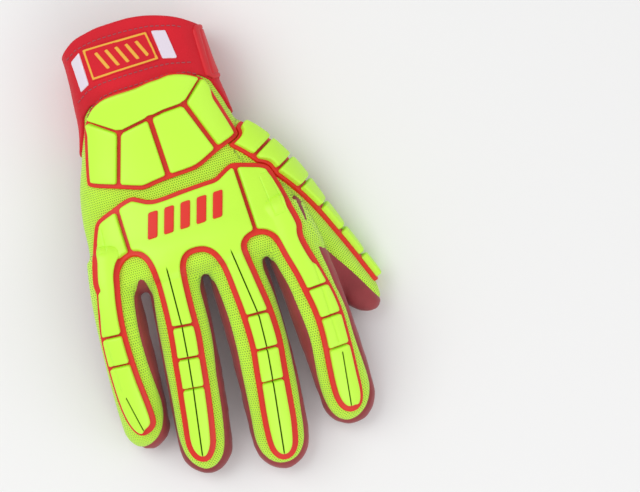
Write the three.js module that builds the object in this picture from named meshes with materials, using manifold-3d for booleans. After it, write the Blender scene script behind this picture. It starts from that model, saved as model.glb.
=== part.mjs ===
// Right-hand impact glove, lying palm down: knit back, leather palm, neoprene cuff, raised rubber guards.
// Millimetres, +Z up, +Y from the knuckles towards the cuff, fingers towards -Y, thumb towards +X.
import * as THREE from 'three';
import { mergeVertices } from 'three/addons/utils/BufferGeometryUtils.js';
import Module from 'manifold-3d';

const wasm = await Module();
wasm.setup();

// Hand and wrist
const PALM_LENGTH = 84;
const KNUCKLE_HEIGHT = 40;
const KNUCKLE_LIFT = 11;
const WRIST_WIDTH = 75;
const WRIST_HEIGHT = 44;
const WRIST_SHIFT = -4;
const SKIN = 1.8;

// Fingers: length from the knuckle line to the tip, width and height at the middle joint
const LITTLE_LENGTH = 98;
const LITTLE_WIDTH = 26;
const RING_LENGTH = 119;
const RING_WIDTH = 29;
const MIDDLE_LENGTH = 127;
const MIDDLE_WIDTH = 30;
const INDEX_LENGTH = 115;
const INDEX_WIDTH = 29;
const FINGER_HEIGHT = 25;
const LITTLE_GAP = 4;
const FINGER_GAP = 1.4;
const LITTLE_SPLAY = 3.6;
const RING_SPLAY = 6.2;
const MIDDLE_SPLAY = 1.8;
const INDEX_SPLAY = 3.4;

// Thumb
const THUMB_LENGTH = 122;
const THUMB_WIDTH = 28;
const THUMB_HEIGHT = 25;
const THUMB_SPLAY = 31;
const THUMB_LIFT = 10;

// Cuff, strap and label
const CUFF_LENGTH = 47;
const CUFF_WALL = 2.6;
const CUFF_FLOOR_GAP = 4.4;
const RIM_LEAN = 13;
const CUFF_SPREAD = 0.6;
const STRAP_WIDTH = 28;
const STRAP_THICKNESS = 2.2;
const STRAP_REACH = 40;
const LOOP_THICKNESS = 1;
const LOOP_MARGIN = 6;
const LOOP_INSET = 8;
const LOOP_EXTRA = 2;
const LOOP_DROP = 6;
const LABEL_LENGTH = 34;
const LABEL_WIDTH = 15;
const LABEL_THICKNESS = 0.8;
const PATCH_LENGTH = 7;
const WRIST_BACK = 12;
const RIM_RISE = 3;
const RIM_MARGIN = 10;
const THUMB_PATCH_THICKNESS = 1.2;

// Cuts across the fingers, from the knuckle line, and round the thumb, as a share of its length
const FINGER_ROOT = 27;
const THUMB_ROOT = 0.42;

// Guards
const BASE_THICKNESS = 1.7;
const PAD_THICKNESS = 3.2;
const GUARD_WIDTH = 16.6;
const BAND = 2.3;
const LINE = 1.6;
const GUARD_REACH = 12;
const THUMB_GUARD_DROP = 4.5;
const ARCH_RADIUS = 10.6;
const WRIST_GUARD_LENGTH = 47;
const WRIST_LINE = 2.6;

// Clearance between neighbouring pieces, and the size below which edges are merged after a cut
const GAP = 0.3;
const SEAM_GAP = 0.4;
const SLIVER = 0.12;

const ROUND_SIDES = 12;
const SIDES = 10;
const PALM_SIDES = 20;
const CAVITY_SIDES = 8;
const PALM_CAVITY_SIDES = 14;
const UP = new THREE.Vector3(0, 0, 1);
const FINGERWARD = new THREE.Vector3(0, -1, 0);
const FAR = 400;

const COLOURS = {
  knit: { color: 0xb4f038, roughness: 0.85, metalness: 0 },
  leather: { color: 0x9a2c38, roughness: 0.7, metalness: 0 },
  neoprene: { color: 0xd81f33, roughness: 0.8, metalness: 0 },
  guardRed: { color: 0xe0261f, roughness: 0.5, metalness: 0 },
  guardLime: { color: 0xbdf83a, roughness: 0.45, metalness: 0 },
  label: { color: 0xd02032, roughness: 0.7, metalness: 0 },
  reflective: { color: 0xe6d8ea, roughness: 0.4, metalness: 0.1 },
};

// Solids from closed meshes

function toSolid(geometry) {
  const bare = geometry.index ? geometry : geometry.clone();
  bare.deleteAttribute('normal');
  bare.deleteAttribute('uv');
  const merged = mergeVertices(bare, 1e-4);
  return new wasm.Manifold(new wasm.Mesh({
    numProp: 3,
    vertProperties: new Float32Array(merged.attributes.position.array),
    triVerts: new Uint32Array(merged.index.array),
  }));
}

function toGeometry(solid) {
  const mesh = solid.getMesh();
  const geometry = new THREE.BufferGeometry();
  geometry.setAttribute('position', new THREE.BufferAttribute(new Float32Array(mesh.vertProperties), 3));
  geometry.setIndex(new THREE.BufferAttribute(new Uint32Array(mesh.triVerts), 1));
  return geometry;
}

const join = (solids) => solids.reduce((all, one) => all.add(one));

// The bodies of a solid from large to small, without the slivers that a cut leaves behind
const bodies = (solid) => solid.simplify(SLIVER).decompose().sort((a, b) => b.volume() - a.volume());
const mainBody = (solid) => bodies(solid)[0];

// A closed body through rings of the same number of points, with a fan over each end
function skinRings(rings) {
  const sides = rings[0].length;
  const points = rings.flat();
  const index = [];
  for (let r = 0; r + 1 < rings.length; r++) {
    for (let k = 0; k < sides; k++) {
      const a = r * sides + k;
      const b = r * sides + (k + 1) % sides;
      index.push(a, b, b + sides, a, b + sides, a + sides);
    }
  }
  const last = (rings.length - 1) * sides;
  for (let k = 1; k + 1 < sides; k++) {
    index.push(0, k + 1, k);
    index.push(last, last + k, last + k + 1);
  }
  let volume = 0;
  for (let i = 0; i < index.length; i += 3) {
    const [p, q, s] = [points[index[i]], points[index[i + 1]], points[index[i + 2]]];
    volume += p.dot(new THREE.Vector3().crossVectors(q, s));
  }
  if (volume < 0) index.reverse();
  const geometry = new THREE.BufferGeometry();
  geometry.setFromPoints(points);
  geometry.setIndex(index);
  return toSolid(geometry);
}

// A limb is a row of sections with a centre, half width, half height, roll and direction

function makeLimb(sections, sides, squareness) {
  sections.forEach((row, i) => {
    const before = sections[Math.max(i - 1, 0)].centre;
    const after = sections[Math.min(i + 1, sections.length - 1)].centre;
    row.heading ??= new THREE.Vector3().subVectors(after, before).normalize();
  });
  return { sections, sides, squareness };
}

function sectionAt(limb, along) {
  const rows = limb.sections;
  let i = 0;
  while (i + 2 < rows.length && rows[i + 1].along < along) i++;
  const a = rows[i];
  const b = rows[i + 1];
  const t = (along - a.along) / (b.along - a.along);
  const mix = (key) => a[key] + (b[key] - a[key]) * t;
  const heading = a.heading.clone().lerp(b.heading, THREE.MathUtils.clamp(t, 0, 1)).normalize();
  const across = new THREE.Vector3().crossVectors(UP, heading).normalize();
  const roll = THREE.MathUtils.degToRad(-mix('roll'));
  across.applyAxisAngle(heading, roll);
  const up = new THREE.Vector3().crossVectors(heading, across).normalize();
  return {
    centre: a.centre.clone().lerp(b.centre, t),
    halfWidth: mix('halfWidth'),
    halfHeight: mix('halfHeight'),
    heading,
    across,
    up,
  };
}

const place = (s, u, v) => s.centre.clone().addScaledVector(s.across, u).addScaledVector(s.up, v);

function limbForm(limb, grow, sides = limb.sides) {
  const power = 2 / limb.squareness;
  const rings = limb.sections.map((row, i) => {
    const s = sectionAt(limb, row.along);
    if (i === 0) s.centre.addScaledVector(s.heading, -grow);
    if (i === limb.sections.length - 1) s.centre.addScaledVector(s.heading, grow);
    const ring = [];
    for (let k = 0; k < sides; k++) {
      const angle = k * 2 * Math.PI / sides;
      const c = Math.cos(angle);
      const h = Math.sin(angle);
      const u = Math.sign(c) * Math.abs(c) ** power * Math.max(s.halfWidth + grow, 0.4);
      const v = Math.sign(h) * Math.abs(h) ** power * Math.max(s.halfHeight + grow, 0.4);
      ring.push(place(s, u, v));
    }
    return ring;
  });
  return skinRings(rings);
}

// A four-sided tube that follows a limb, between two shares of its length
function limbSlab(limb, from, to, edges) {
  const stops = limb.sections.map((row) => row.along).filter((a) => a > from + 0.02 && a < to - 0.02);
  const rings = [from, ...stops, to].map((along) => {
    const s = sectionAt(limb, along);
    const { left, right, low, high } = edges(s, along);
    return [place(s, left, low), place(s, right, low), place(s, right, high), place(s, left, high)];
  });
  return skinRings(rings);
}

// Hand layout

const FINGER_SHAPE = [
  { along: 0.00, width: 0.84, height: 1.14, lift: 0.95, turn: 0.00 },
  { along: 0.18, width: 0.97, height: 1.15, lift: 1.00, turn: 0.35 },
  { along: 0.36, width: 1.00, height: 1.06, lift: 0.98, turn: 0.90 },
  { along: 0.52, width: 1.01, height: 1.00, lift: 0.83, turn: 1.00 },
  { along: 0.68, width: 1.01, height: 0.94, lift: 0.57, turn: 1.00 },
  { along: 0.83, width: 0.97, height: 0.85, lift: 0.28, turn: 0.95 },
  { along: 0.94, width: 0.74, height: 0.66, lift: 0.08, turn: 0.90 },
  { along: 1.00, width: 0.28, height: 0.28, lift: 0.00, turn: 0.90 },
];

const knuckleY = 10;
const knuckleZ = KNUCKLE_LIFT + KNUCKLE_HEIGHT / 2;
const middleX = 4.5;
const ringX = middleX - (MIDDLE_WIDTH + RING_WIDTH) / 2 - FINGER_GAP;
const littleX = ringX - (RING_WIDTH + LITTLE_WIDTH) / 2 - LITTLE_GAP;
const indexX = middleX + (MIDDLE_WIDTH + INDEX_WIDTH) / 2 + FINGER_GAP;

function makeFinger(name, x, length, width, splay, sway, roll, shortfall) {
  const tipZ = FINGER_HEIGHT * 0.27;
  const angle = THREE.MathUtils.degToRad(splay);
  const rows = FINGER_SHAPE.map((shape) => {
    const bend = Math.sin(Math.PI * shape.along) * sway * width;
    return {
      along: shape.along,
      centre: new THREE.Vector3(
        x + Math.sin(angle) * length * shape.along + bend,
        knuckleY - Math.cos(angle) * length * shape.along,
        tipZ + (knuckleZ - tipZ) * shape.lift,
      ),
      halfWidth: width * shape.width / 2,
      halfHeight: FINGER_HEIGHT * shape.height / 2,
      roll: roll * shape.turn,
    };
  });
  return { name, length, width, x, limb: makeLimb(rows, SIDES, 2.3), guardEnd: length - shortfall };
}

const fingers = [
  makeFinger('little', littleX + 3.4, LITTLE_LENGTH, LITTLE_WIDTH, -LITTLE_SPLAY, -0.01, -15, 8),
  makeFinger('ring', ringX + 2.2, RING_LENGTH, RING_WIDTH, -RING_SPLAY, 0.04, -3, 6.5),
  makeFinger('middle', middleX + 0.4, MIDDLE_LENGTH, MIDDLE_WIDTH, -MIDDLE_SPLAY, 0.09, 11, 4.5),
  makeFinger('index', indexX - 1.2, INDEX_LENGTH, INDEX_WIDTH, INDEX_SPLAY, 0.06, 16, 6),
];
const [little, ring, middle, index] = fingers;

const palmLeft = littleX - LITTLE_WIDTH * 0.3;
const palmRight = indexX + INDEX_WIDTH * 0.42;
const palmWidth = palmRight - palmLeft;
const palmX = (palmLeft + palmRight) / 2;
const wristY = PALM_LENGTH - WRIST_BACK;
const mouthY = wristY + CUFF_LENGTH;

const PALM_SHAPE = [
  { along: 0.00, spread: -0.02, height: 0.00, lift: 0.00, shift: 1.00 },
  { along: 0.14, spread: 0.11, height: 0.45, lift: 0.00, shift: 1.25 },
  { along: 0.32, spread: 0.45, height: 0.70, lift: 0.00, shift: 1.00 },
  { along: 0.50, spread: 0.70, height: 0.80, lift: 0.10, shift: 0.52 },
  { along: 0.68, spread: 0.84, height: 0.90, lift: 0.42, shift: 0.10 },
  { along: 0.84, spread: 0.98, height: 1.00, lift: 0.80, shift: 0.00 },
  { along: 0.93, spread: 0.98, height: 1.75, lift: 1.00, shift: -0.05 },
  { along: 1.00, spread: 0.30, height: 3.60, lift: 1.10, shift: -2.20 },
];

const CUFF_SHAPE = [
  { along: 1.00, width: 0.93, height: 0.96, shift: 1.45 },
  { along: 0.62, width: 0.91, height: 0.97, shift: 1.00 },
  { along: 0.25, width: 0.94, height: 0.98, shift: 1.00 },
];

function cuffRow(shape) {
  const halfHeight = WRIST_HEIGHT * shape.height / 2;
  return {
    along: -shape.along,
    centre: new THREE.Vector3(
      palmX + WRIST_SHIFT * shape.shift,
      wristY + (mouthY + RIM_LEAN - wristY) * shape.along,
      CUFF_FLOOR_GAP + halfHeight,
    ),
    halfWidth: WRIST_WIDTH * shape.width / 2,
    halfHeight,
    roll: 0,
    heading: FINGERWARD,
  };
}

function palmRow(shape) {
  const halfHeight = (WRIST_HEIGHT + (KNUCKLE_HEIGHT - WRIST_HEIGHT) * shape.height) / 2;
  return {
    along: shape.along,
    centre: new THREE.Vector3(
      palmX + WRIST_SHIFT * shape.shift,
      wristY - PALM_LENGTH * shape.along,
      KNUCKLE_LIFT * shape.lift + halfHeight - 0.6,
    ),
    halfWidth: (WRIST_WIDTH + (palmWidth - WRIST_WIDTH) * shape.spread) / 2,
    halfHeight,
    roll: 0,
    heading: FINGERWARD,
  };
}

const palm = makeLimb([...CUFF_SHAPE.map(cuffRow), ...PALM_SHAPE.map(palmRow)], PALM_SIDES, 2.4);

const THUMB_SHAPE = [
  { along: 0.00, out: 0.010, lift: 1.00, width: 1.00, height: 1.15, roll: 28 },
  { along: 0.14, out: 0.050, lift: 1.05, width: 1.10, height: 1.25, roll: 38 },
  { along: 0.30, out: 0.045, lift: 0.95, width: 1.12, height: 1.20, roll: 52 },
  { along: 0.46, out: 0.028, lift: 0.75, width: 1.08, height: 1.06, roll: 66 },
  { along: 0.62, out: 0.010, lift: 0.50, width: 1.00, height: 0.96, roll: 74 },
  { along: 0.76, out: -0.004, lift: 0.28, width: 0.94, height: 0.86, roll: 80 },
  { along: 0.90, out: -0.020, lift: 0.10, width: 0.80, height: 0.72, roll: 82 },
  { along: 1.00, out: -0.018, lift: 0.00, width: 0.26, height: 0.26, roll: 82 },
];

const thumbBaseX = palmX + palmWidth * 0.14;
const thumbBaseY = wristY - PALM_LENGTH * 0.22;
const thumb = makeLimb(THUMB_SHAPE.map((shape) => {
  const angle = THREE.MathUtils.degToRad(THUMB_SPLAY);
  const tipZ = THUMB_HEIGHT * 0.38;
  const down = THUMB_LENGTH * shape.along;
  const out = THUMB_LENGTH * shape.out;
  return {
    along: shape.along,
    centre: new THREE.Vector3(
      thumbBaseX + Math.sin(angle) * down + Math.cos(angle) * out,
      thumbBaseY - Math.cos(angle) * down + Math.sin(angle) * out,
      tipZ + THUMB_LIFT * shape.lift,
    ),
    halfWidth: THUMB_WIDTH * shape.width / 2,
    halfHeight: THUMB_HEIGHT * shape.height / 2,
    roll: shape.roll,
  };
}), SIDES, 2.2);

// Flat floor under everything that rests on it

const box = (x0, x1, y0, y1, z0, z1) => {
  const geometry = new THREE.BoxGeometry(x1 - x0, y1 - y0, z1 - z0);
  geometry.translate((x0 + x1) / 2, (y0 + y1) / 2, (z0 + z1) / 2);
  return toSolid(geometry);
};
const above = (z) => box(-FAR, FAR, -FAR, FAR, z, FAR);

// The whole outer form of hand and wrist, grown by a distance
const limbs = [palm, thumb, ...fingers.map((finger) => finger.limb)];
const handForm = (grow) => join(limbs.map((limb) => limbForm(limb, grow))).intersect(above(0));
const cavityOf = (limb) => limbForm(limb, -SKIN, limb === palm ? PALM_CAVITY_SIDES : CAVITY_SIDES);
const handCavity = join(limbs.map(cavityOf)).intersect(above(SKIN));

// A prism over the plan, from an outline of [x, y] points
function prism(points, z0, z1) {
  const shape = new THREE.Shape(points.map(([x, y]) => new THREE.Vector2(x, y)));
  const geometry = new THREE.ExtrudeGeometry(shape, { depth: z1 - z0, bevelEnabled: false, curveSegments: 8 });
  geometry.translate(0, 0, z0);
  return toSolid(geometry);
}

// A prism across the hand, from an outline of [y, z] points
function sidePrism(points) {
  const shape = new THREE.Shape(points.map(([y, z]) => new THREE.Vector2(y, z)));
  const geometry = new THREE.ExtrudeGeometry(shape, { depth: 2 * FAR, bevelEnabled: false });
  const yzx = new THREE.Matrix4().set(0, 0, 1, -FAR, 1, 0, 0, 0, 0, 1, 0, 0, 0, 0, 0, 1);
  geometry.applyMatrix4(yzx);
  return toSolid(geometry);
}

function bar([x0, y0], [x1, y1], width) {
  const length = Math.hypot(x1 - x0, y1 - y0);
  const geometry = new THREE.BoxGeometry(length, width, FAR);
  geometry.rotateZ(Math.atan2(y1 - y0, x1 - x0));
  geometry.translate((x0 + x1) / 2, (y0 + y1) / 2, 0);
  return toSolid(geometry);
}

function disc(x, y, radius) {
  const geometry = new THREE.CylinderGeometry(radius, radius, FAR, ROUND_SIDES);
  geometry.rotateX(Math.PI / 2);
  geometry.translate(x, y, 0);
  return toSolid(geometry);
}

// An outline moved inwards by a distance, corner by corner
function inset(points, distance) {
  const area = points.reduce((sum, [x, y], i) => {
    const [nx, ny] = points[(i + 1) % points.length];
    return sum + x * ny - nx * y;
  }, 0);
  const turn = Math.sign(area);
  return points.map((point, i) => {
    const here = new THREE.Vector2(...point);
    const before = here.clone().sub(new THREE.Vector2(...points.at(i - 1))).normalize();
    const after = new THREE.Vector2(...points[(i + 1) % points.length]).sub(here).normalize();
    const normals = [before, after].map((d) => new THREE.Vector2(-d.y * turn, d.x * turn));
    const middleNormal = normals[0].clone().add(normals[1]).normalize();
    const reach = distance / Math.max(middleNormal.dot(normals[0]), 0.5);
    here.addScaledVector(middleNormal, reach);
    return [here.x, here.y];
  });
}

// Shell and its seams

const handShell = handForm(0).subtract(handCavity);

// Seam between hand and cuff, seen from the side: the back runs on under the cuff edge
const SEAM_SHAPE = [
  { back: 0.30, height: 1.20 },
  { back: 0.28, height: 0.93 },
  { back: 0.18, height: 0.78 },
  { back: -0.14, height: 0.56 },
  { back: -0.20, height: 0.40 },
  { back: -0.12, height: 0.15 },
  { back: -0.10, height: -0.30 },
];
const seamLine = (shift) => SEAM_SHAPE.map((s) => [wristY + CUFF_LENGTH * s.back + shift, WRIST_HEIGHT * s.height]);
const cuffSide = (shift) => sidePrism([[FAR, -FAR / 2], [FAR, FAR / 2], [seamLine(shift)[0][0], FAR / 2],
  ...seamLine(shift), [seamLine(shift).at(-1)[0], -FAR / 2]]);

// Rim: leans back, with the middle of the back longest
const RIM_SHAPE = [
  { across: -1.40, back: 0.52 },
  { across: -0.95, back: 0.25 },
  { across: -0.60, back: 0.06 },
  { across: -0.10, back: -0.03 },
  { across: 0.40, back: 0.02 },
  { across: 0.95, back: 0.22 },
  { across: 1.40, back: 0.48 },
];
const cuffX = palmX + WRIST_SHIFT * 1.2;
const rimPoint = (s) => [cuffX + WRIST_WIDTH / 2 * s.across, mouthY - CUFF_LENGTH * s.back];
const rimCut = prism([...RIM_SHAPE.map(rimPoint), [FAR, -FAR], [-FAR, -FAR]], -FAR, FAR);
const leanCut = sidePrism([
  [mouthY - RIM_LEAN, -RIM_MARGIN],
  [mouthY + RIM_RISE, WRIST_HEIGHT + RIM_MARGIN],
  [-FAR, WRIST_HEIGHT + RIM_MARGIN],
  [-FAR, -RIM_MARGIN],
]);
const inRim = rimCut.intersect(leanCut);

const cuffTube = limbForm(palm, CUFF_SPREAD).subtract(limbForm(palm, CUFF_SPREAD - CUFF_WALL));
const cuff = mainBody(cuffTube.intersect(cuffSide(0)).intersect(inRim).intersect(above(0)));
const handWall = handShell.subtract(cuffSide(-GAP));

// Parting between knit back and leather palm, and the strips between the fingers

function backHalf(shift) {
  const fingerParts = fingers.map((finger) => {
    const reach = finger.width * 0.62;
    return limbSlab(finger.limb, 0.05, 1.06, (s) => ({
      left: -reach,
      right: reach,
      low: -0.22 * s.halfHeight - shift,
      high: FAR / 8,
    }));
  });
  const palmPart = limbSlab(palm, -1, 0.9, (s) => ({
    left: -FAR / 4,
    right: FAR / 4,
    low: -0.3 * s.halfHeight - shift,
    high: FAR / 4,
  }));
  return join([palmPart, ...fingerParts]);
}

function sideStrip(finger, side, shift) {
  const grown = shift / finger.length;
  return limbSlab(finger.limb, 0.1 - grown, 0.93 + grown, (s) => {
    const near = s.halfWidth * 0.45 - shift;
    const wide = s.halfWidth * 1.25 + shift;
    return {
      left: side > 0 ? near : -wide,
      right: side > 0 ? wide : -near,
      low: -0.5 * s.halfHeight - shift,
      high: 0.3 * s.halfHeight + shift,
    };
  });
}

function betweenFingers(a, b, shift) {
  const middleOfGap = (a.x + a.width / 2 + b.x - b.width / 2) / 2;
  const reach = 7 + shift;
  const web = box(middleOfGap - reach, middleOfGap + reach, -FAR / 8, knuckleY - 6 + shift,
    knuckleZ - FINGER_HEIGHT * 0.3 - shift, knuckleZ + FINGER_HEIGHT * 0.2 + shift);
  const strips = sideStrip(a, 1, shift).add(sideStrip(b, -1, shift));
  return strips.add(web.intersect(limbForm(palm, 1 + shift)));
}

const gaps = [
  { name: 'fourchette_ring_little', a: little, b: ring },
  { name: 'fourchette_middle_ring', a: ring, b: middle },
  { name: 'fourchette_index_middle', a: middle, b: index },
];
const stripsWithGap = join(gaps.map(({ a, b }) => betweenFingers(a, b, SEAM_GAP)));

const thumbUpper = (shift) => limbSlab(thumb, 0.08, 1.06, (s) => ({
  left: -THUMB_WIDTH * 0.9,
  right: THUMB_WIDTH * 0.9,
  low: -0.05 * s.halfHeight - shift,
  high: THUMB_WIDTH * 1.4,
}));
const handWithoutThumb = (grow) => join([limbForm(palm, grow), ...fingers.map((f) => limbForm(f.limb, grow))]);
const ownHand = handWithoutThumb(0);

const knitBack = handWall.intersect(ownHand).intersect(backHalf(0)).subtract(stripsWithGap);
const thumbBack = mainBody(handWall.intersect(thumbUpper(0)).subtract(handWithoutThumb(GAP)));
const leatherFront = handWall
  .subtract(backHalf(GAP).intersect(handWithoutThumb(GAP)))
  .subtract(thumbUpper(GAP).subtract(ownHand))
  .subtract(stripsWithGap);

// Back and palm are cut across each finger's root and round the thumb's
const fingerRootY = knuckleY - FINGER_ROOT;
const wholeFinger = (finger, shift) => limbSlab(finger.limb, 0.1, 1.06, () => ({
  left: -finger.width * 0.75,
  right: finger.width * 0.75,
  low: -FAR / 8,
  high: FAR / 8,
})).intersect(box(-FAR, FAR, -FAR, fingerRootY + shift, -FAR, FAR));
const wholeThumb = (shift) => limbSlab(thumb, THUMB_ROOT - shift / THUMB_LENGTH, 1.06, () => ({
  left: -THUMB_WIDTH - shift,
  right: THUMB_WIDTH + shift,
  low: -THUMB_WIDTH - shift,
  high: THUMB_WIDTH + shift,
})).subtract(handWithoutThumb(GAP));
const fingerSpace = box(-FAR, FAR, -FAR, fingerRootY + GAP, -FAR, FAR);
const backPanel = mainBody(knitBack.subtract(fingerSpace));
const fingerBacks = fingers.map((finger) => mainBody(knitBack.intersect(wholeFinger(finger, 0))));
const palmPanel = mainBody(leatherFront
  .subtract(fingerSpace.subtract(limbForm(thumb, GAP)))
  .subtract(wholeThumb(GAP)));
const fingerFronts = fingers.map((finger) => mainBody(leatherFront
  .intersect(wholeFinger(finger, 0))
  .subtract(limbForm(thumb, 2 * GAP + SLIVER))));
const thumbFront = mainBody(leatherFront.intersect(wholeThumb(0)));

// Guards: a thin red base that hugs the back, and lime pads raised on it

const layer = (low, high) => handForm(high).subtract(handForm(low));
const baseTop = GAP + BASE_THICKNESS;
const padBottom = baseTop + GAP;
const baseLayer = layer(GAP, baseTop);
const padLayer = layer(padBottom, padBottom + PAD_THICKNESS);

// Finger guard: a strip along the finger with a round end
function guardStrip(finger, from, to, halfWidth, rounded, inwards) {
  const share = (mm) => mm / finger.length;
  const strip = (a, b, wide) => limbSlab(finger.limb, a, b, (s, along) => ({
    left: -wide(along),
    right: wide(along),
    low: s.halfHeight * 0.3,
    high: s.halfHeight + GUARD_REACH,
  }));
  const straight = () => halfWidth;
  if (!rounded) return strip(from, to, straight);
  const centre = to - share(halfWidth);
  const cap = [0, 0.62, 0.96].map((t) => centre + share(halfWidth) * t);
  const round = (along) => halfWidth * Math.sqrt(Math.max(1 - ((along - centre) / share(halfWidth)) ** 2, 0.02));
  const pieces = [strip(from, centre, straight)];
  for (let i = 0; i + 1 < cap.length; i++) pieces.push(strip(cap[i], cap[i + 1], round));
  return join(pieces);
}

// Crossbars of each finger guard, as shares of the finger's length from the knuckle line
const CROSSBARS = {
  little: [0.39, 0.53],
  ring: [0.36, 0.483, 0.605],
  middle: [0.364, 0.49, 0.617],
  index: [0.375, 0.50, 0.625],
};
const legStart = 0.06;

// Knuckle guard outline, as shares of half the palm's width and of its length
const KNUCKLE_OUTLINE = [
  { across: -1.00, along: -0.05 },
  { across: -1.00, along: 0.01 },
  { across: -0.93, along: 0.18 },
  { across: -0.84, along: 0.33 },
  { across: -0.64, along: 0.39 },
  { across: -0.46, along: 0.425 },
  { across: -0.30, along: 0.37 },
  { across: -0.02, along: 0.38 },
  { across: 0.30, along: 0.39 },
  { across: 0.50, along: 0.445 },
  { across: 0.78, along: 0.39 },
  { across: 0.82, along: 0.33 },
  { across: 0.88, along: 0.20 },
  { across: 0.94, along: 0.03 },
  { across: 0.95, along: -0.06 },
  { across: 0.53, along: -0.09 },
  { across: -0.02, along: -0.09 },
  { across: -0.61, along: -0.01 },
];
const knuckleOutline = KNUCKLE_OUTLINE.map((p) => [palmX + palmWidth / 2 * p.across, PALM_LENGTH * p.along]);
const ARCHES = [
  { a: little, b: ring, along: -0.01 },
  { a: ring, b: middle, along: -0.097 },
  { a: middle, b: index, along: -0.09 },
];
const archDiscs = (radius) => join(ARCHES.map(({ a, b, along }) => {
  const x = (a.x + a.width / 2 + b.x - b.width / 2) / 2 - 0.8;
  return disc(x, PALM_LENGTH * along, radius);
}));
const guardFloor = knuckleZ - 4;
const legs = (halfWidth) => join(fingers.map((f) => guardStrip(f, legStart, CROSSBARS[f.name][0] + 0.01, halfWidth)));

const knuckleSheet = prism(knuckleOutline, guardFloor, FAR / 4).subtract(archDiscs(ARCH_RADIUS - BAND));
const fingerStrips = join(fingers.map((f) => guardStrip(f, legStart, f.guardEnd / f.length, GUARD_WIDTH / 2, true)));
const knuckleBase = mainBody(baseLayer.intersect(knuckleSheet.add(fingerStrips)));

const KNUCKLE_LINES = [
  { from: [-0.615, 0.45], to: [-0.615, 0.05] },
  { from: [0.505, 0.47], to: [0.527, -0.02] },
];
const knuckleLines = KNUCKLE_LINES.map(({ from, to }) => bar(
  [palmX + palmWidth / 2 * from[0], PALM_LENGTH * from[1]],
  [palmX + palmWidth / 2 * to[0], PALM_LENGTH * to[1]],
  BAND,
));
const knuckleTop = prism(inset(knuckleOutline, LINE), guardFloor, FAR / 4).subtract(archDiscs(ARCH_RADIUS));
const padLegs = join(fingers.map((f) => guardStrip(f, legStart, CROSSBARS[f.name][0] - LINE / 2 / f.length,
  GUARD_WIDTH / 2 - BAND)));
const knucklePads = padLayer
  .intersect(knuckleTop.add(padLegs))
  .subtract(join(knuckleLines))
  .decompose()
  .filter((solid) => solid.volume() > 200)
  .sort((a, b) => a.boundingBox().min[0] - b.boundingBox().min[0]);

// Wrist guard, as shares of half the wrist's width and of the guard's length from the cuff seam
const seamY = wristY + CUFF_LENGTH * 0.28;
const wristX = palmX + WRIST_SHIFT;
const wristPoint = ([across, back]) => [wristX + WRIST_WIDTH / 2 * across, seamY - WRIST_GUARD_LENGTH * back];
const WRIST_OUTLINE = [
  [-0.93, 0.31], [-1.04, 0.78], [-0.72, 0.93], [-0.42, 1.01], [0.00, 0.97], [0.34, 0.97],
  [0.72, 0.83], [1.00, 0.755], [0.80, 0.12], [0.61, 0.03], [-0.55, 0.03], [-0.76, 0.15], [-0.90, 0.22],
];
const WRIST_LINES = [
  { points: [[-0.95, 0.13], [-0.49, 0.385], [-0.08, 0.32], [0.46, 0.285], [0.85, 0.0]], width: LINE },
  { points: [[-0.49, 0.385], [-0.71, 1.0]], width: WRIST_LINE },
  { points: [[-0.05, 0.32], [-0.01, 1.05]], width: WRIST_LINE },
  { points: [[0.46, 0.285], [0.72, 0.95]], width: WRIST_LINE },
];
const wristOutline = WRIST_OUTLINE.map(wristPoint);
const wristFloor = WRIST_HEIGHT * 0.5;
const wristLines = WRIST_LINES.flatMap(({ points, width }) => {
  const ends = points.map(wristPoint);
  return ends.slice(1).map((end, i) => bar(ends[i], end, width));
});
const besideCuff = cuffSide(-GAP);
const wristBase = mainBody(baseLayer.intersect(prism(wristOutline, wristFloor, FAR / 4)).subtract(besideCuff));
const wristPads = padLayer
  .intersect(prism(inset(wristOutline, LINE), wristFloor, FAR / 4))
  .subtract(join(wristLines))
  .subtract(besideCuff)
  .decompose()
  .filter((solid) => solid.volume() > 60)
  .sort((a, b) => a.boundingBox().min[0] - b.boundingBox().min[0]);

// Thumb guard: blocks on the outer side of the thumb
const THUMB_BLOCKS = [0.10, 0.20, 0.30, 0.41, 0.53, 0.66, 0.79, 0.92];
const thumbDrop = (along) => THUMB_GUARD_DROP * THREE.MathUtils.smoothstep(along, 0.2, 0.6);
const thumbStrip = (from, to, halfWidth) => limbSlab(thumb, from, to, (s, along) => ({
  left: thumbDrop(along) - halfWidth,
  right: thumbDrop(along) + halfWidth,
  low: s.halfHeight * 0.4,
  high: s.halfHeight + GUARD_REACH,
}));
const otherGuards = prism(inset(knuckleOutline, -SEAM_GAP), 0, FAR / 4)
  .add(prism(inset(wristOutline, -SEAM_GAP), 0, FAR / 4));
const thumbBase = mainBody(baseLayer
  .intersect(thumbStrip(THUMB_BLOCKS[0], THUMB_BLOCKS.at(-1), GUARD_WIDTH / 2))
  .subtract(otherGuards));
const halfLine = LINE / 2 / THUMB_LENGTH;
const thumbPads = THUMB_BLOCKS.slice(1).map((to, i) => mainBody(padLayer
  .intersect(thumbStrip(THUMB_BLOCKS[i] + halfLine, to - halfLine, GUARD_WIDTH / 2 - LINE))
  .subtract(otherGuards)));

// Half-moon patch on the outer, palm-facing side of the thumb
const thumbPatch = mainBody(layer(GAP, GAP + THUMB_PATCH_THICKNESS)
  .intersect(limbSlab(thumb, 0.26, 0.72, (s, along) => ({
    left: s.halfWidth * 0.2,
    right: s.halfWidth * 1.5,
    low: -s.halfHeight * (0.12 + 0.7 * Math.sin(Math.PI * THREE.MathUtils.clamp((along - 0.24) / 0.5, 0, 1))),
    high: -s.halfHeight * 0.12,
  })))
  .subtract(handWithoutThumb(GAP * 2 + THUMB_PATCH_THICKNESS)));

// Pieces on the cuff

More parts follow.
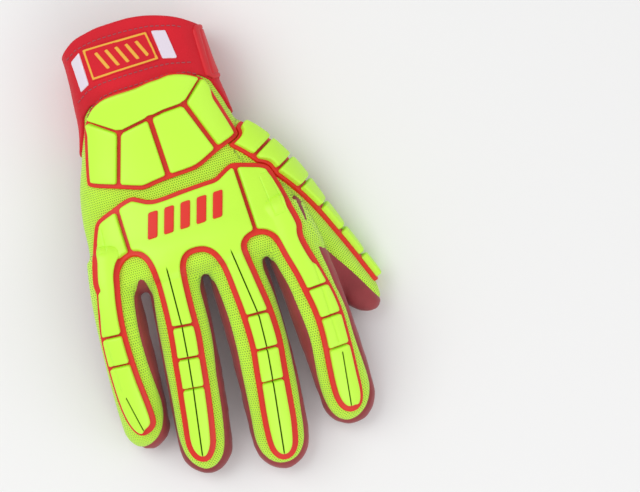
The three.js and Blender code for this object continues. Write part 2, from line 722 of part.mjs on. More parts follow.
const cuffLayer = (low, high) => limbForm(palm, CUFF_SPREAD + high)
  .subtract(limbForm(palm, CUFF_SPREAD + low));
const labelY = mouthY - CUFF_LENGTH * 0.33;
const onCuffBack = (points, thickness) => mainBody(cuffLayer(GAP, GAP + thickness)
  .intersect(prism(points, WRIST_HEIGHT * 0.4, FAR / 4)));
const labelX = cuffX - WRIST_WIDTH * 0.07;
const quad = (x, wide, high, slant) => [
  [x - wide / 2 - slant, labelY + high / 2],
  [x - wide / 2 + slant, labelY - high / 2],
  [x + wide / 2 + slant, labelY - high / 2],
  [x + wide / 2 - slant, labelY + high / 2],
];
const label = onCuffBack(quad(labelX, LABEL_LENGTH, LABEL_WIDTH, 0), LABEL_THICKNESS);
const patchOffset = LABEL_LENGTH / 2 + 1.5 + PATCH_LENGTH / 2;
const patchLeft = onCuffBack(quad(labelX - patchOffset, PATCH_LENGTH, LABEL_WIDTH, -0.6), LABEL_THICKNESS);
const patchRight = onCuffBack(quad(labelX + patchOffset, PATCH_LENGTH, LABEL_WIDTH, -0.6), LABEL_THICKNESS);

// Strap: round the thumb side and under the wrist, ending in a round tab
const strapY = mouthY - CUFF_LENGTH * 0.52;
const strapRight = cuffX + WRIST_WIDTH * 0.47;
const tabEndX = strapRight - STRAP_REACH;
const roundTab = (x0, x1, width, z0, z1) => {
  const radius = width * 0.42;
  const corners = [];
  for (let k = 0; k <= 6; k++) {
    const angle = Math.PI / 2 + Math.PI * k / 6;
    corners.push([x0 + radius + Math.cos(angle) * radius, strapY + Math.sin(angle) * width / 2]);
  }
  return prism([...corners, [x1, strapY - width / 2], [x1, strapY + width / 2]], z0, z1);
};
const strapTop = LOOP_THICKNESS + 2 * GAP;
const strapMid = CUFF_FLOOR_GAP + WRIST_HEIGHT / 2;
const strapBand = cuffLayer(strapTop, strapTop + STRAP_THICKNESS).intersect(join([
  roundTab(tabEndX, FAR, STRAP_WIDTH, -FAR, strapMid),
  prism([[strapRight - 4, strapY - STRAP_WIDTH / 2], [FAR, strapY - STRAP_WIDTH / 2],
    [FAR, strapY + STRAP_WIDTH / 2], [strapRight - 4, strapY + STRAP_WIDTH / 2]], strapMid - 1, FAR / 4),
]));
const strapTab = mainBody(strapBand.intersect(above(0)));
const loopPatch = mainBody(cuffLayer(GAP, GAP + LOOP_THICKNESS)
  .intersect(roundTab(tabEndX - LOOP_MARGIN, strapRight - LOOP_INSET, STRAP_WIDTH + LOOP_EXTRA, -FAR,
    strapMid - LOOP_DROP))
  .intersect(above(0)));

// Assembly

const glove = new THREE.Group();
function addPiece(name, solid, look) {
  const mesh = new THREE.Mesh(toGeometry(solid), new THREE.MeshStandardMaterial(COLOURS[look]));
  mesh.name = name;
  glove.add(mesh);
}

addPiece('palm_panel', palmPanel, 'leather');
addPiece('back_panel', backPanel, 'knit');
for (const { name, a, b } of gaps) {
  addPiece(name, mainBody(handWall.intersect(betweenFingers(a, b, 0))), 'leather');
}
fingers.forEach(({ name }, i) => {
  addPiece(`${name}_back`, fingerBacks[i], 'knit');
  addPiece(`${name}_front`, fingerFronts[i], 'leather');
});
addPiece('thumb_back', thumbBack, 'knit');
addPiece('thumb_front', thumbFront, 'leather');
addPiece('thumb_patch', thumbPatch, 'leather');
addPiece('cuff', cuff, 'neoprene');
addPiece('cuff_label', label, 'label');
addPiece('reflective_patch_left', patchLeft, 'reflective');
addPiece('reflective_patch_right', patchRight, 'reflective');
addPiece('strap_tab', strapTab, 'neoprene');
addPiece('strap_loop_patch', loopPatch, 'neoprene');
addPiece('knuckle_guard_base', knuckleBase, 'guardRed');
knucklePads.forEach((pad, i) => addPiece(`knuckle_pad_${i + 1}`, pad, 'guardLime'));
addPiece('wrist_guard_base', wristBase, 'guardRed');
wristPads.forEach((pad, i) => addPiece(`wrist_pad_${i + 1}`, pad, 'guardLime'));
for (const finger of fingers) {
  const bars = CROSSBARS[finger.name];
  const halfBar = LINE / 2 / finger.length;
  const end = (finger.guardEnd - BAND) / finger.length;
  bars.forEach((from, i) => {
    const last = i === bars.length - 1;
    const to = last ? end : bars[i + 1] - halfBar;
    const strip = guardStrip(finger, from + halfBar, to, GUARD_WIDTH / 2 - BAND, last);
    addPiece(`${finger.name}_pad_${i + 1}`, mainBody(padLayer.intersect(strip)), 'guardLime');
  });
}
addPiece('thumb_guard_base', thumbBase, 'guardRed');
thumbPads.forEach((pad, i) => addPiece(`thumb_pad_${i + 1}`, pad, 'guardLime'));

// The origin is at the middle of the bottom of the whole glove's box
const bounds = new THREE.Box3().setFromObject(glove);
const centre = bounds.getCenter(new THREE.Vector3());
glove.position.set(-centre.x, -centre.y, -bounds.min.z);

export default glove;
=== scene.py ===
import math

import bpy
import numpy as np
from mathutils import Matrix, Vector, noise


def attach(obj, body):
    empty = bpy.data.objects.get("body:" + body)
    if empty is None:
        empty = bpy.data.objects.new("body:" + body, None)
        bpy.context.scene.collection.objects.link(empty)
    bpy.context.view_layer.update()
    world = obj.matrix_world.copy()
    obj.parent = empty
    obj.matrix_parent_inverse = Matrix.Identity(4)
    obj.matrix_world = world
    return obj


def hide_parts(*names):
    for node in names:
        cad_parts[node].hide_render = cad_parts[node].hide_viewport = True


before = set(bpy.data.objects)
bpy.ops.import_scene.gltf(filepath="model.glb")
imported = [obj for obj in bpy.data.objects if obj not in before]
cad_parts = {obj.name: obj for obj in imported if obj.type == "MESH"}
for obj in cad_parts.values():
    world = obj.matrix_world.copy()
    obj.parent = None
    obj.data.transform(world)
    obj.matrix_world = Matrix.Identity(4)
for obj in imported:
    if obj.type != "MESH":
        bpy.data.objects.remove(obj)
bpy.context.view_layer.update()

# All shapes are made in millimetres in the plan frame, then moved by SHIFT into the row frame in metres
SHIFT = np.array([-1.2180, -1.2174, 0.0])
VOXEL = 0.85
SIDES = 72
FLOOR_CLEARANCE = 0.02
PALM_SINK = 0.6

# The photo: mm per pixel, its turn against the plan frame, and the plan origin in turned pixels
PIXEL = 0.5
PHOTO_TURN = 16.6
PHOTO_CENTRE = (320, 246)
PLAN_ORIGIN = (139, 297.5)

# Hand and wrist, as in the CAD part
PALM_LENGTH, KNUCKLE_HEIGHT, KNUCKLE_LIFT = 84, 40, 11
WRIST_WIDTH, WRIST_HEIGHT, WRIST_SHIFT = 75, 44, -4
KNUCKLE_Y, KNUCKLE_Z, FINGER_HEIGHT, FINGER_TIP_Z = 10, 31, 25, 6.75
PALM_X, PALM_WIDTH, WRIST_Y, MOUTH_Y = -9.06, 113.3, 72, 119
CUFF_X, CUFF_LENGTH, CUFF_FLOOR_GAP, RIM_LEAN = -13.86, 47, 4.4, 13
THUMB_LENGTH, THUMB_WIDTH, THUMB_HEIGHT, THUMB_SPLAY, THUMB_LIFT, THUMB_TIP_Z = 122, 28, 25, 31, 10, 9.5
THUMB_BASE = (6.8, 53.5)

# along, width, height, lift, turn
FINGER_ROWS = np.array([
    [0.00, 0.84, 1.14, 0.95, 0.00],
    [0.18, 0.97, 1.15, 1.00, 0.35],
    [0.36, 1.00, 1.06, 0.98, 0.90],
    [0.52, 1.01, 1.00, 0.83, 1.00],
    [0.68, 1.01, 0.94, 0.57, 1.00],
    [0.83, 0.98, 0.86, 0.28, 0.95],
    [0.88, 0.96, 0.81, 0.18, 0.92],
    [0.94, 0.92, 0.76, 0.08, 0.90],
    [1.00, 0.86, 0.72, 0.00, 0.90],
])
# name, x at the knuckle line, length, width, splay, sway, roll
FINGERS = [
    ("little", -55.1, 98, 24.8, -3.6, -0.01, -15),
    ("ring", -23.9, 119, 28.2, -6.2, 0.04, -3),
    ("middle", 4.9, 127, 30, -1.8, 0.09, 11),
    ("index", 34.2, 115, 29, 3.4, 0.06, 16),
]
# along, spread, height, lift, shift
PALM_ROWS = np.array([
    [0.00, -0.02, 0.00, 0.00, 1.00],
    [0.14, 0.11, 0.45, 0.00, 1.25],
    [0.32, 0.45, 0.70, 0.00, 1.00],
    [0.50, 0.70, 0.80, 0.10, 0.52],
    [0.68, 0.84, 0.90, 0.42, 0.10],
    [0.84, 0.98, 1.00, 0.80, 0.00],
    [0.93, 0.98, 1.75, 1.00, -0.05],
    [1.00, 0.30, 3.60, 1.10, -2.20],
])
# along, width, height, shift
CUFF_ROWS = np.array([
    [1.00, 0.93, 0.96, 1.45],
    [0.62, 0.91, 0.97, 1.00],
    [0.25, 0.94, 0.98, 1.00],
])
# along, out, lift, width, height, roll
THUMB_ROWS = np.array([
    [0.00, 0.010, 1.00, 1.00, 1.15, 28],
    [0.14, 0.050, 1.05, 1.10, 1.25, 38],
    [0.30, 0.045, 0.95, 1.12, 1.20, 52],
    [0.46, 0.028, 0.75, 1.08, 1.06, 66],
    [0.62, 0.010, 0.50, 1.00, 0.96, 74],
    [0.76, -0.004, 0.28, 0.94, 0.86, 80],
    [0.88, -0.018, 0.12, 0.86, 0.80, 82],
    [1.00, -0.018, 0.00, 0.74, 0.68, 82],
])


# Curves and limbs

def curve(x, y, at):
    """Smooth curve through the points, with slopes from the neighbours."""
    x = np.asarray(x, float)
    y = np.asarray(y, float)
    slope = np.gradient(y, x)
    i = np.clip(np.searchsorted(x, at) - 1, 0, len(x) - 2)
    h = x[i + 1] - x[i]
    t = (at - x[i]) / h
    a = 2 * t**3 - 3 * t**2 + 1
    b = t**3 - 2 * t**2 + t
    c = -2 * t**3 + 3 * t**2
    d = t**3 - t**2
    return a * y[i] + b * h * slope[i] + c * y[i + 1] + d * h * slope[i + 1]


def unit(v):
    return v / np.maximum(np.linalg.norm(v, axis=-1, keepdims=True), 1e-9)


def step(x, a, b):
    t = np.clip((x - a) / (b - a), 0, 1)
    return t * t * (3 - 2 * t)


def make_limb(along, centre, half_width, half_height, roll, power, heading=None):
    if heading is None:
        heading = unit(np.gradient(centre, along, axis=0))
    up0 = np.array([0.0, 0.0, 1.0])
    across = unit(np.cross(up0, heading))
    angle = np.radians(-roll)[:, None]
    across = across * np.cos(angle) + np.cross(heading, across) * np.sin(angle)
    up = unit(np.cross(heading, across))
    return {"along": along, "centre": centre, "hw": half_width, "hh": half_height,
            "heading": heading, "across": across, "up": up, "power": power}


def tip_round(along, start, end):
    return np.sqrt(np.clip(1 - (np.clip(along - start, 0, None) / (end - start)) ** 2, 0.0004, 1))


def stations(cap):
    """Shares of a limb's length: even up to the cap, then closer towards the tip."""
    closer = np.sin(np.linspace(0.05, 1, 26) * math.pi / 2)
    return np.concatenate([np.linspace(0, 0.86, 44), 0.86 + cap * closer])


def finger_limb(x, length, width, splay, sway, roll):
    a = stations(0.1425)
    r = FINGER_ROWS
    angle = math.radians(splay)
    lift = curve(r[:, 0], r[:, 3], a)
    centre = np.stack([
        x + math.sin(angle) * length * a + np.sin(math.pi * a) * sway * width,
        KNUCKLE_Y - math.cos(angle) * length * a,
        FINGER_TIP_Z + (KNUCKLE_Z - FINGER_TIP_Z) * lift,
    ], axis=1)
    cap = tip_round(a, 0.888, 1.003)
    hw = curve(r[:, 0], r[:, 1], a) * width / 2 * cap
    hh = curve(r[:, 0], r[:, 2], a) * FINGER_HEIGHT / 2 * cap
    return make_limb(a, centre, hw, hh, roll * curve(r[:, 0], r[:, 4], a), 2.25)


def thumb_limb():
    a = stations(0.143)
    r = THUMB_ROWS
    s, c = math.sin(math.radians(THUMB_SPLAY)), math.cos(math.radians(THUMB_SPLAY))
    down = THUMB_LENGTH * a
    out = THUMB_LENGTH * curve(r[:, 0], r[:, 1], a)
    centre = np.stack([
        THUMB_BASE[0] + s * down + c * out,
        THUMB_BASE[1] - c * down + s * out,
        THUMB_TIP_Z + THUMB_LIFT * curve(r[:, 0], r[:, 2], a),
    ], axis=1)
    cap = tip_round(a, 0.88, 1.004)
    hw = curve(r[:, 0], r[:, 3], a) * THUMB_WIDTH / 2 * cap
    hh = curve(r[:, 0], r[:, 4], a) * THUMB_HEIGHT / 2 * cap
    return make_limb(a, centre, hw, hh, curve(r[:, 0], r[:, 5], a), 2.2)


def palm_limb():
    rows = []
    for along, width, height, shift in CUFF_ROWS:
        hh = WRIST_HEIGHT * height / 2
        rows.append([-along, PALM_X + WRIST_SHIFT * shift, WRIST_Y + (MOUTH_Y + RIM_LEAN - WRIST_Y) * along,
                     CUFF_FLOOR_GAP + hh, WRIST_WIDTH * width / 2, hh])
    for along, spread, height, lift, shift in PALM_ROWS:
        hh = (WRIST_HEIGHT + (KNUCKLE_HEIGHT - WRIST_HEIGHT) * height) / 2
        hw = (WRIST_WIDTH + (PALM_WIDTH - WRIST_WIDTH) * spread) / 2
        rows.append([along, PALM_X + WRIST_SHIFT * shift, WRIST_Y - PALM_LENGTH * along,
                     KNUCKLE_LIFT * lift + hh - PALM_SINK, hw, hh])
    rows = np.array(rows)
    a = np.linspace(-1, 1, 150)
    x, y, z, hw, hh = (curve(rows[:, 0], rows[:, k], a) for k in range(1, 6))
    heading = np.tile([0.0, -1.0, 0.0], (len(a), 1))
    return make_limb(a, np.stack([x, y, z], axis=1), hw, hh, np.zeros(len(a)), 2.4, heading)


PALM = palm_limb()
THUMB = thumb_limb()
LIMBS = {name: finger_limb(*sizes) for name, *sizes in FINGERS}
LIMBS["thumb"] = THUMB
LIMBS["palm"] = PALM
OWNERS = list(LIMBS)


def loft(limb):
    angle = np.linspace(0, 2 * math.pi, SIDES, endpoint=False)
    c, s = np.cos(angle), np.sin(angle)
    p = 2 / limb["power"]
    u = np.sign(c) * np.abs(c) ** p
    v = np.sign(s) * np.abs(s) ** p
    rings = (limb["centre"][:, None] + limb["across"][:, None] * (limb["hw"][:, None] * u)[..., None]
             + limb["up"][:, None] * (limb["hh"][:, None] * v)[..., None])
    n = len(rings)
    verts = rings.reshape(-1, 3)
    faces = []
    for r in range(n - 1):
        for k in range(SIDES):
            j = (k + 1) % SIDES
            faces.append((r * SIDES + k, r * SIDES + j, (r + 1) * SIDES + j, (r + 1) * SIDES + k))
    faces.append(tuple(range(SIDES))[::-1])
    faces.append(tuple((n - 1) * SIDES + k for k in range(SIDES)))
    return verts, faces


# Triangle surfaces with attributes, cut along fields

def edges_of(tris):
    e = np.sort(np.concatenate([tris[:, [0, 1]], tris[:, [1, 2]], tris[:, [2, 0]]]), axis=1)
    n = int(tris.max()) + 1
    key = e[:, 0].astype(np.int64) * n + e[:, 1]
    unique, inverse = np.unique(key, return_inverse=True)
    return np.stack([unique // n, unique % n], axis=1), inverse


def relax(values, tris, rounds, amount=0.5):
    """Averages a value per vertex with its neighbours."""
    e, _ = edges_of(tris)
    n = len(values)
    flat = values.reshape(n, -1).astype(float)
    count = np.bincount(e.ravel(), minlength=n).astype(float)
    count[count == 0] = 1
    for _ in range(rounds):
        total = np.empty_like(flat)
        for k in range(flat.shape[1]):
            total[:, k] = (np.bincount(e[:, 0], weights=flat[e[:, 1], k], minlength=n)
                           + np.bincount(e[:, 1], weights=flat[e[:, 0], k], minlength=n))
        flat += amount * (total / count[:, None] - flat)
    return flat.reshape(values.shape)


def normals_of(v, t):
    face = np.cross(v[t[:, 1]] - v[t[:, 0]], v[t[:, 2]] - v[t[:, 0]])
    out = np.zeros_like(v)
    for k in range(3):
        for j in range(3):
            out[:, j] += np.bincount(t[:, k], weights=face[:, j], minlength=len(v))
    return unit(out)


class Skin:
    """Triangles with values per vertex."""

    def __init__(self, v, t, **values):
        self.v, self.t, self.values = v, t, values

    def __getattr__(self, name):
        if name in self.__dict__.get("values", {}):
            return self.__dict__["values"][name]
        raise AttributeError(name)

    def take(self, faces):
        t = self.t[faces]
        used, flat = np.unique(t, return_inverse=True)
        return Skin(self.v[used], flat.reshape(-1, 3), **{k: a[used] for k, a in self.values.items()})

    def split(self, f, snap=0.04):
        """Adds vertices where the field passes 0. Returns the new skin and the field on it."""
        f = np.where(np.abs(f) < snap, 0.0, f)
        s = np.sign(f)
        e, inverse = edges_of(self.t)
        crossing = s[e[:, 0]] * s[e[:, 1]] < 0
        n = len(self.v)
        ids = np.full(len(e), -1)
        ids[crossing] = n + np.arange(crossing.sum())
        a, b = e[crossing].T
        w = (f[a] / (f[a] - f[b]))

        def mixed(x):
            ww = w.reshape((-1,) + (1,) * (x.ndim - 1))
            return np.concatenate([x, x[a] * (1 - ww) + x[b] * ww])

        m = len(self.t)
        cut = ids[inverse].reshape(3, m).T
        hit = (cut >= 0).sum(axis=1)
        out = [self.t[hit == 0]]
        for k in range(3):
            p, q, r = self.t[:, k], self.t[:, (k + 1) % 3], self.t[:, (k + 2) % 3]
            one = (hit == 1) & (cut[:, k] >= 0)
            mid = cut[:, k]
            out += [np.stack([p, mid, r], 1)[one], np.stack([mid, q, r], 1)[one]]
            two = (hit == 2) & (cut[:, k] >= 0) & (cut[:, (k + 2) % 3] >= 0)
            last = cut[:, (k + 2) % 3]
            out += [np.stack([p, mid, last], 1)[two], np.stack([mid, q, r], 1)[two],
                    np.stack([mid, r, last], 1)[two]]
        skin = Skin(mixed(self.v), np.concatenate(out), **{k: mixed(x) for k, x in self.values.items()})
        return skin, np.concatenate([f, np.zeros(crossing.sum())])

    def inside(self, field, levels=()):
        """The part where the field is above 0, cut at the given levels too. Keeps the field as f."""
        f = field(self)
        near = (f[self.t].max(axis=1) > -0.01)
        skin = self.take(near)
        skin, f = skin.split(field(skin))
        skin.values["f"] = f
        skin = skin.take(f[skin.t].sum(axis=1) > 1e-6)
        for level in levels:
            skin, _ = skin.split(skin.f - level)
        return skin

    def parts(self):
        """Joined pieces, from large to small."""
        parent = np.arange(len(self.v))
        e, _ = edges_of(self.t)
        while True:
            low = np.minimum(parent[e[:, 0]], parent[e[:, 1]])
            new = parent.copy()
            np.minimum.at(new, e[:, 0], low)
            np.minimum.at(new, e[:, 1], low)
            new = new[new]
            if (new == parent).all():
                break
            parent = new
        label = parent[self.t[:, 0]]
        names, count = np.unique(label, return_counts=True)
        return [self.take(label == k) for k in names[np.argsort(-count)]]


def open_edges(t):
    d = np.concatenate([t[:, [0, 1]], t[:, [1, 2]], t[:, [2, 0]]])
    _, inverse = edges_of(t)
    return d[np.bincount(inverse)[inverse] == 1]


def add_rim(v, t, frame_n, profile):
    """Strips from the open edges through a profile of (height, outward) offsets from the edge."""
    e = open_edges(t)
    if not len(e):
        return v, t
    along = unit(v[e[:, 1]] - v[e[:, 0]])
    tangent = np.zeros_like(v)
    for k in range(3):
        tangent[:, k] = (np.bincount(e[:, 0], weights=along[:, k], minlength=len(v))
                         + np.bincount(e[:, 1], weights=along[:, k], minlength=len(v)))
    used = np.unique(e)
    index = np.full(len(v), -1)
    index[used] = np.arange(len(used))
    nn = frame_n[used]
    out = unit(np.cross(unit(tangent[used]), nn))
    verts, tris = [v], [t]
    before = used
    start = len(v)
    for height, push in profile:
        verts.append(v[used] + nn * height + out * push)
        now = start + np.arange(len(used))
        a, b = index[e[:, 0]], index[e[:, 1]]
        tris += [np.stack([before[b], before[a], now[a]], 1), np.stack([before[b], now[a], now[b]], 1)]
        before = now
        start += len(used)
    return np.concatenate(verts), np.concatenate(tris)


def to_object(name, v, t, material, nodes, st=None, smooth_angle=40):
    mesh = bpy.data.meshes.new(name)
    world = (v + SHIFT) * 0.001
    mesh.from_pydata(world.tolist(), [], t.tolist())
    mesh.validate(clean_customdata=False)
    mesh.update()
    mesh.materials.append(material)
    if st is not None:
        layer = mesh.attributes.new("st", "FLOAT_VECTOR", "POINT")
        full = np.zeros((len(v), 3))
        full[:len(st)] = st[:len(v)]
        layer.data.foreach_set("vector", full.ravel())
    mesh.polygons.foreach_set("use_smooth", np.ones(len(mesh.polygons), bool))
    obj = bpy.data.objects.new(name, mesh)
    bpy.context.scene.collection.objects.link(obj)
    if smooth_angle:
        mesh.set_sharp_from_angle(angle=math.radians(smooth_angle))
    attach(obj, "root")
    if nodes:
        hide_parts(*nodes)
    return obj


# Plan fields

def round_corners(points, rounds=2):
    p = np.asarray(points, float)
    for _ in range(rounds):
        q = np.roll(p, -1, axis=0)
        p = np.stack([p * 0.75 + q * 0.25, p * 0.25 + q * 0.75], axis=1).reshape(-1, 2)
    return p


def polygon(points):
    """Distance inside a closed outline: above 0 within it."""
    p = np.asarray(points, float)
    q = np.roll(p, -1, axis=0)

    def field(xy):
        best = np.full(len(xy), 1e9)
        odd = np.zeros(len(xy), bool)
        x, y = xy[:, 0], xy[:, 1]
        for (ax, ay), (bx, by) in zip(p, q):
            dx, dy = bx - ax, by - ay
            t = np.clip(((x - ax) * dx + (y - ay) * dy) / (dx * dx + dy * dy + 1e-12), 0, 1)
            best = np.minimum(best, (x - ax - t * dx) ** 2 + (y - ay - t * dy) ** 2)
            if ay != by:
                hit = ((ay > y) != (by > y)) & (x < (bx - ax) * (y - ay) / (by - ay) + ax)
                odd ^= hit
        return np.where(odd, 1, -1) * np.sqrt(best)

    return field


def to_line(points, xy):
    """Signed distance to an open line of points, and the share of its length at the nearest place."""
    p = np.asarray(points, float)
    length = np.linalg.norm(np.diff(p, axis=0), axis=1)
    reach = np.concatenate([[0], np.cumsum(length)])
    best = np.full(len(xy), 1e9)
    share = np.zeros(len(xy))
    side = np.ones(len(xy))
    for i in range(len(p) - 1):
        d = p[i + 1] - p[i]
        t = np.clip(((xy - p[i]) @ d) / (d @ d), 0, 1)
        off = xy - p[i] - t[:, None] * d
        dist = np.linalg.norm(off, axis=1)
        near = dist < best
        best[near] = dist[near]
        side[near] = np.where(d[0] * off[near, 1] - d[1] * off[near, 0] < 0, -1, 1)
        share[near] = (reach[i] + t[near] * length[i]) / reach[-1]
    return best * side, share


def both(a, b, r):
    """The smaller of two fields, with the corner between them rounded."""
    return np.maximum(r, np.minimum(a, b)) - np.hypot(np.maximum(r - a, 0), np.maximum(r - b, 0))


# Edge of the knit seen from above, from the little finger to the thumb
KNIT_EDGE = [
    (-95, 125), (-95, -60), (-80, -84), (-70, -86.2), (-66, -86.8), (-62, -86.4), (-57, -84),
    (-52.5, -79.5), (-49.6, -74), (-48.2, -68), (-48.8, -60), (-49.8, -50), (-50, -40), (-49.8, -30),
    (-48.4, -20), (-46.6, -11), (-45, -6.4), (-43.2, -3.9), (-41.3, -3.4), (-39.3, -4.6), (-38, -8),
    (-38.2, -14), (-39.6, -20), (-41.4, -30), (-42.3, -40), (-43.4, -50), (-44.3, -60), (-45.3, -70),
    (-47.2, -80), (-47.8, -88), (-46.6, -96), (-43.6, -102), (-39.5, -106), (-36, -106.8),
    (-31.5, -105.2), (-27.5, -101), (-25, -95), (-23.7, -90), (-21.7, -80), (-20.2, -70), (-18.8, -60),
    (-16.2, -50), (-14.6, -40), (-14.3, -30), (-14.6, -20), (-14.2, -15), (-12.8, -11.4),
    (-10.8, -10.2), (-8.8, -11.4), (-7.5, -14.5), (-6.6, -20), (-6, -25), (-5.3, -35), (-5.5, -45),
    (-6.2, -55), (-7.4, -65), (-8.4, -75), (-9.4, -85), (-11, -95), (-11.3, -100), (-9, -107.5),
    (-4.5, -112.8), (2, -114.9), (8, -113.2), (13, -107.5), (15.1, -100), (16.4, -90), (18.2, -80),
    (19.2, -70), (20, -62), (21, -52), (21.2, -40), (20.6, -30), (19.2, -22), (18, -15), (18.8, -11.7),
    (20.5, -10.7), (22.6, -12), (24, -16), (26, -23), (28, -30), (29, -40), (30.2, -50), (30.5, -60),
    (29.2, -68), (27.4, -78), (27, -88), (28.9, -95), (31.5, -100), (35, -102.8), (38.5, -103.4),
    (43, -102.4), (47.5, -99), (51, -94), (53.3, -88), (53.2, -80), (52.4, -70), (52, -60), (52.5, -50),
    (51.5, -42), (49.8, -35), (49.3, -28), (48, -20), (46.6, -13), (45.3, -5), (44.6, 3), (43.6, 10),
    (42.6, 15), (43, 17.5), (44.2, 15), (46, 8), (47.2, 1), (47, -7), (48.6, -13), (53.5, -21),
    (57, -26), (61.5, -32), (65, -37), (69.5, -45), (71.5, -50), (74, -54), (95, -58), (95, 125),
]

# Red base of the knuckle and finger guards
GUARD_EDGE = [
    (-65.3, -4), (-64.7, -5.6), (-66.2, -12), (-68, -20), (-69.8, -30), (-70.6, -45), (-70.8, -60),
    (-70, -70), (-68, -77), (-65.5, -80.3), (-62.5, -81.2), (-59.3, -80.4), (-56.2, -78.5),
    (-54.4, -75), (-54.8, -65), (-56, -50), (-56, -30), (-54.2, -15), (-52.2, -6), (-51, 0),
    (-48.6, 4.6), (-45.6, 6.8), (-42.5, 7.3), (-39.2, 6.2), (-36.6, 2.5), (-35.4, -3), (-35.2, -10),
    (-35.4, -20), (-36, -30), (-37, -40), (-38.6, -50), (-39.8, -60), (-41.4, -70), (-42.8, -80),
    (-44.5, -90), (-44, -96), (-41.5, -100.8), (-37.5, -102.7), (-34, -101.8), (-31.2, -98.6),
    (-29.3, -95), (-28, -90), (-26, -80), (-24.3, -70), (-22.8, -60), (-21.5, -50), (-20, -40),
    (-19.8, -30), (-19.4, -20), (-18.8, -11), (-18.2, -6), (-16.6, -2.4), (-14.4, -0.7), (-11.3, -0.3),
    (-7.6, -0.9), (-4.4, -3.2), (-2, -8), (-0.8, -15), (0, -25), (0.8, -35), (1, -45), (0.8, -55),
    (-0.8, -65), (-2, -75), (-3.5, -85), (-4.6, -95), (-5, -103), (-4.2, -108), (-1.5, -111.9),
    (2.3, -113.2), (6.4, -112), (9.4, -108.5), (10.8, -105), (13, -95), (14.2, -85), (15.3, -75),
    (16.5, -65), (17.8, -55), (18, -45), (17.5, -35), (16.2, -25), (15, -15), (13.5, -5), (15.2, -2.2),
    (17.6, -0.9), (20.5, -0.5), (23.6, -1.1), (26, -2.8), (27.5, -5), (29.5, -15), (32.3, -25),
    (34, -35), (35.8, -45), (36.2, -55), (35.5, -65), (34.3, -75), (33.5, -85), (33.8, -92),
    (36.2, -97.5), (40.5, -99.7), (44.6, -98.6), (47.5, -95.4), (49, -90), (49.5, -80), (50.2, -70),
    (50.5, -60), (50.8, -50), (50, -40), (47.8, -30), (45.4, -20), (43.4, -13), (42.2, -6), (43.7, -2),
    (43, 3), (41.5, 9), (40, 17), (37, 28), (35, 32.5), (25, 35.7), (19, 37.5), (16, 37), (11, 34.2),
    (8, 32.5), (3, 32.5), (-10, 31.8), (-19, 31), (-26, 31), (-31, 33.8), (-34.5, 35.7), (-40, 34.5),
    (-45, 32.5), (-53.5, 29.7), (-56, 27.5), (-58, 23), (-61, 15), (-65, 1),
]
KNUCKLE_LINES = [([(-43.4, 36), (-43.2, 20), (-42.8, 6)], 1.15), ([(19.3, 39), (20.5, 0)], 1.1)]
# Lines across the fingers: y at the middle of the finger, half width
CROSS = {
    "little": [(-29.2, 0.75), (-44.2, 0.75)],
    "ring": [(-33.5, 0.75), (-49.7, 0.75), (-65.0, 0.6)],
    "middle": [(-38.0, 0.75), (-56.0, 0.75), (-72.5, 0.6)],
    "index": [(-34.0, 0.75), (-50.0, 0.75), (-66.0, 0.6)],
}
# Slits and soft creases in the pads: line, half width, depth
SLITS = [
    ([(-27.3, -2), (-28.5, -34.5), (-30.2, -50.5), (-32.2, -65.5), (-38, -100.5)], 0.42, 1.6),
    ([(5.5, -2.5), (9.8, -39), (9, -56), (7, -73), (1.7, -111)], 0.42, 1.6),
    ([(44.5, -68), (40.8, -97.5)], 0.36, 1.3),
    ([(-65.7, -59.5), (-62.2, -79)], 0.36, 1.3),
]
SOFT_LINES = [
    ([(43.0, -3), (44, -36), (44.4, -64)], 0.9, 0.45),
    ([(-66.0, -12), (-67.2, -30), (-67.2, -57)], 1.1, 0.5),
    ([(-57.6, 25.6), (-53.6, 24.6), (-53.9, 12.4), (-58.0, 12.8), (-57.6, 25.6)], 0.5, 0.3),
    ([(29.5, 28), (34.5, 28.5), (38, 7), (32, 6), (29.5, 28)], 0.5, 0.3),
]
WRIST_EDGE = [
    (-47.6, 75), (-49.2, 70), (-54.4, 49), (-53.9, 46), (-40, 41.3), (-30, 37.8), (-27, 37.1),
    (-20, 38.2), (-13, 38.8), (-1, 39.2), (4.4, 40.6), (14.5, 45.6), (26, 49.5), (25.6, 54), (18, 80),
    (16.4, 82.4), (14, 84), (10, 86.4), (5, 88.2), (0, 89), (-5, 88.2), (-10, 88.2), (-14, 87.5),
    (-19, 87), (-27, 87), (-34, 86.6), (-39, 84.6), (-42, 82.3), (-45, 78.6),
]
WRIST_LINES = [
    ([(-46.5, 78.2), (-31, 67.5)], 0.8),
    ([(-31, 67.5), (-16, 70), (-7, 71.5), (4.5, 72.2), (15.5, 82)], 0.85),
    ([(-31.3, 67.5), (-39.6, 41)], 1.15),
    ([(-14.5, 70), (-13.5, 38)], 1.35),
    ([(4.3, 72), (14, 46)], 1.35),
]
# Guard along the thumb: where its blocks end, as shares of the length, its half width and its sideways drop
THUMB_BLOCKS = [0.10, 0.20, 0.30, 0.41, 0.53, 0.66, 0.79, 0.92]
THUMB_GUARD_HALF = 8.3
THUMB_GUARD_DROP = 4.5
# Half-moon patch beside the thumb: where it starts and ends along the thumb
PATCH_ENDS = (0.26, 0.72)


# The hand's outer form

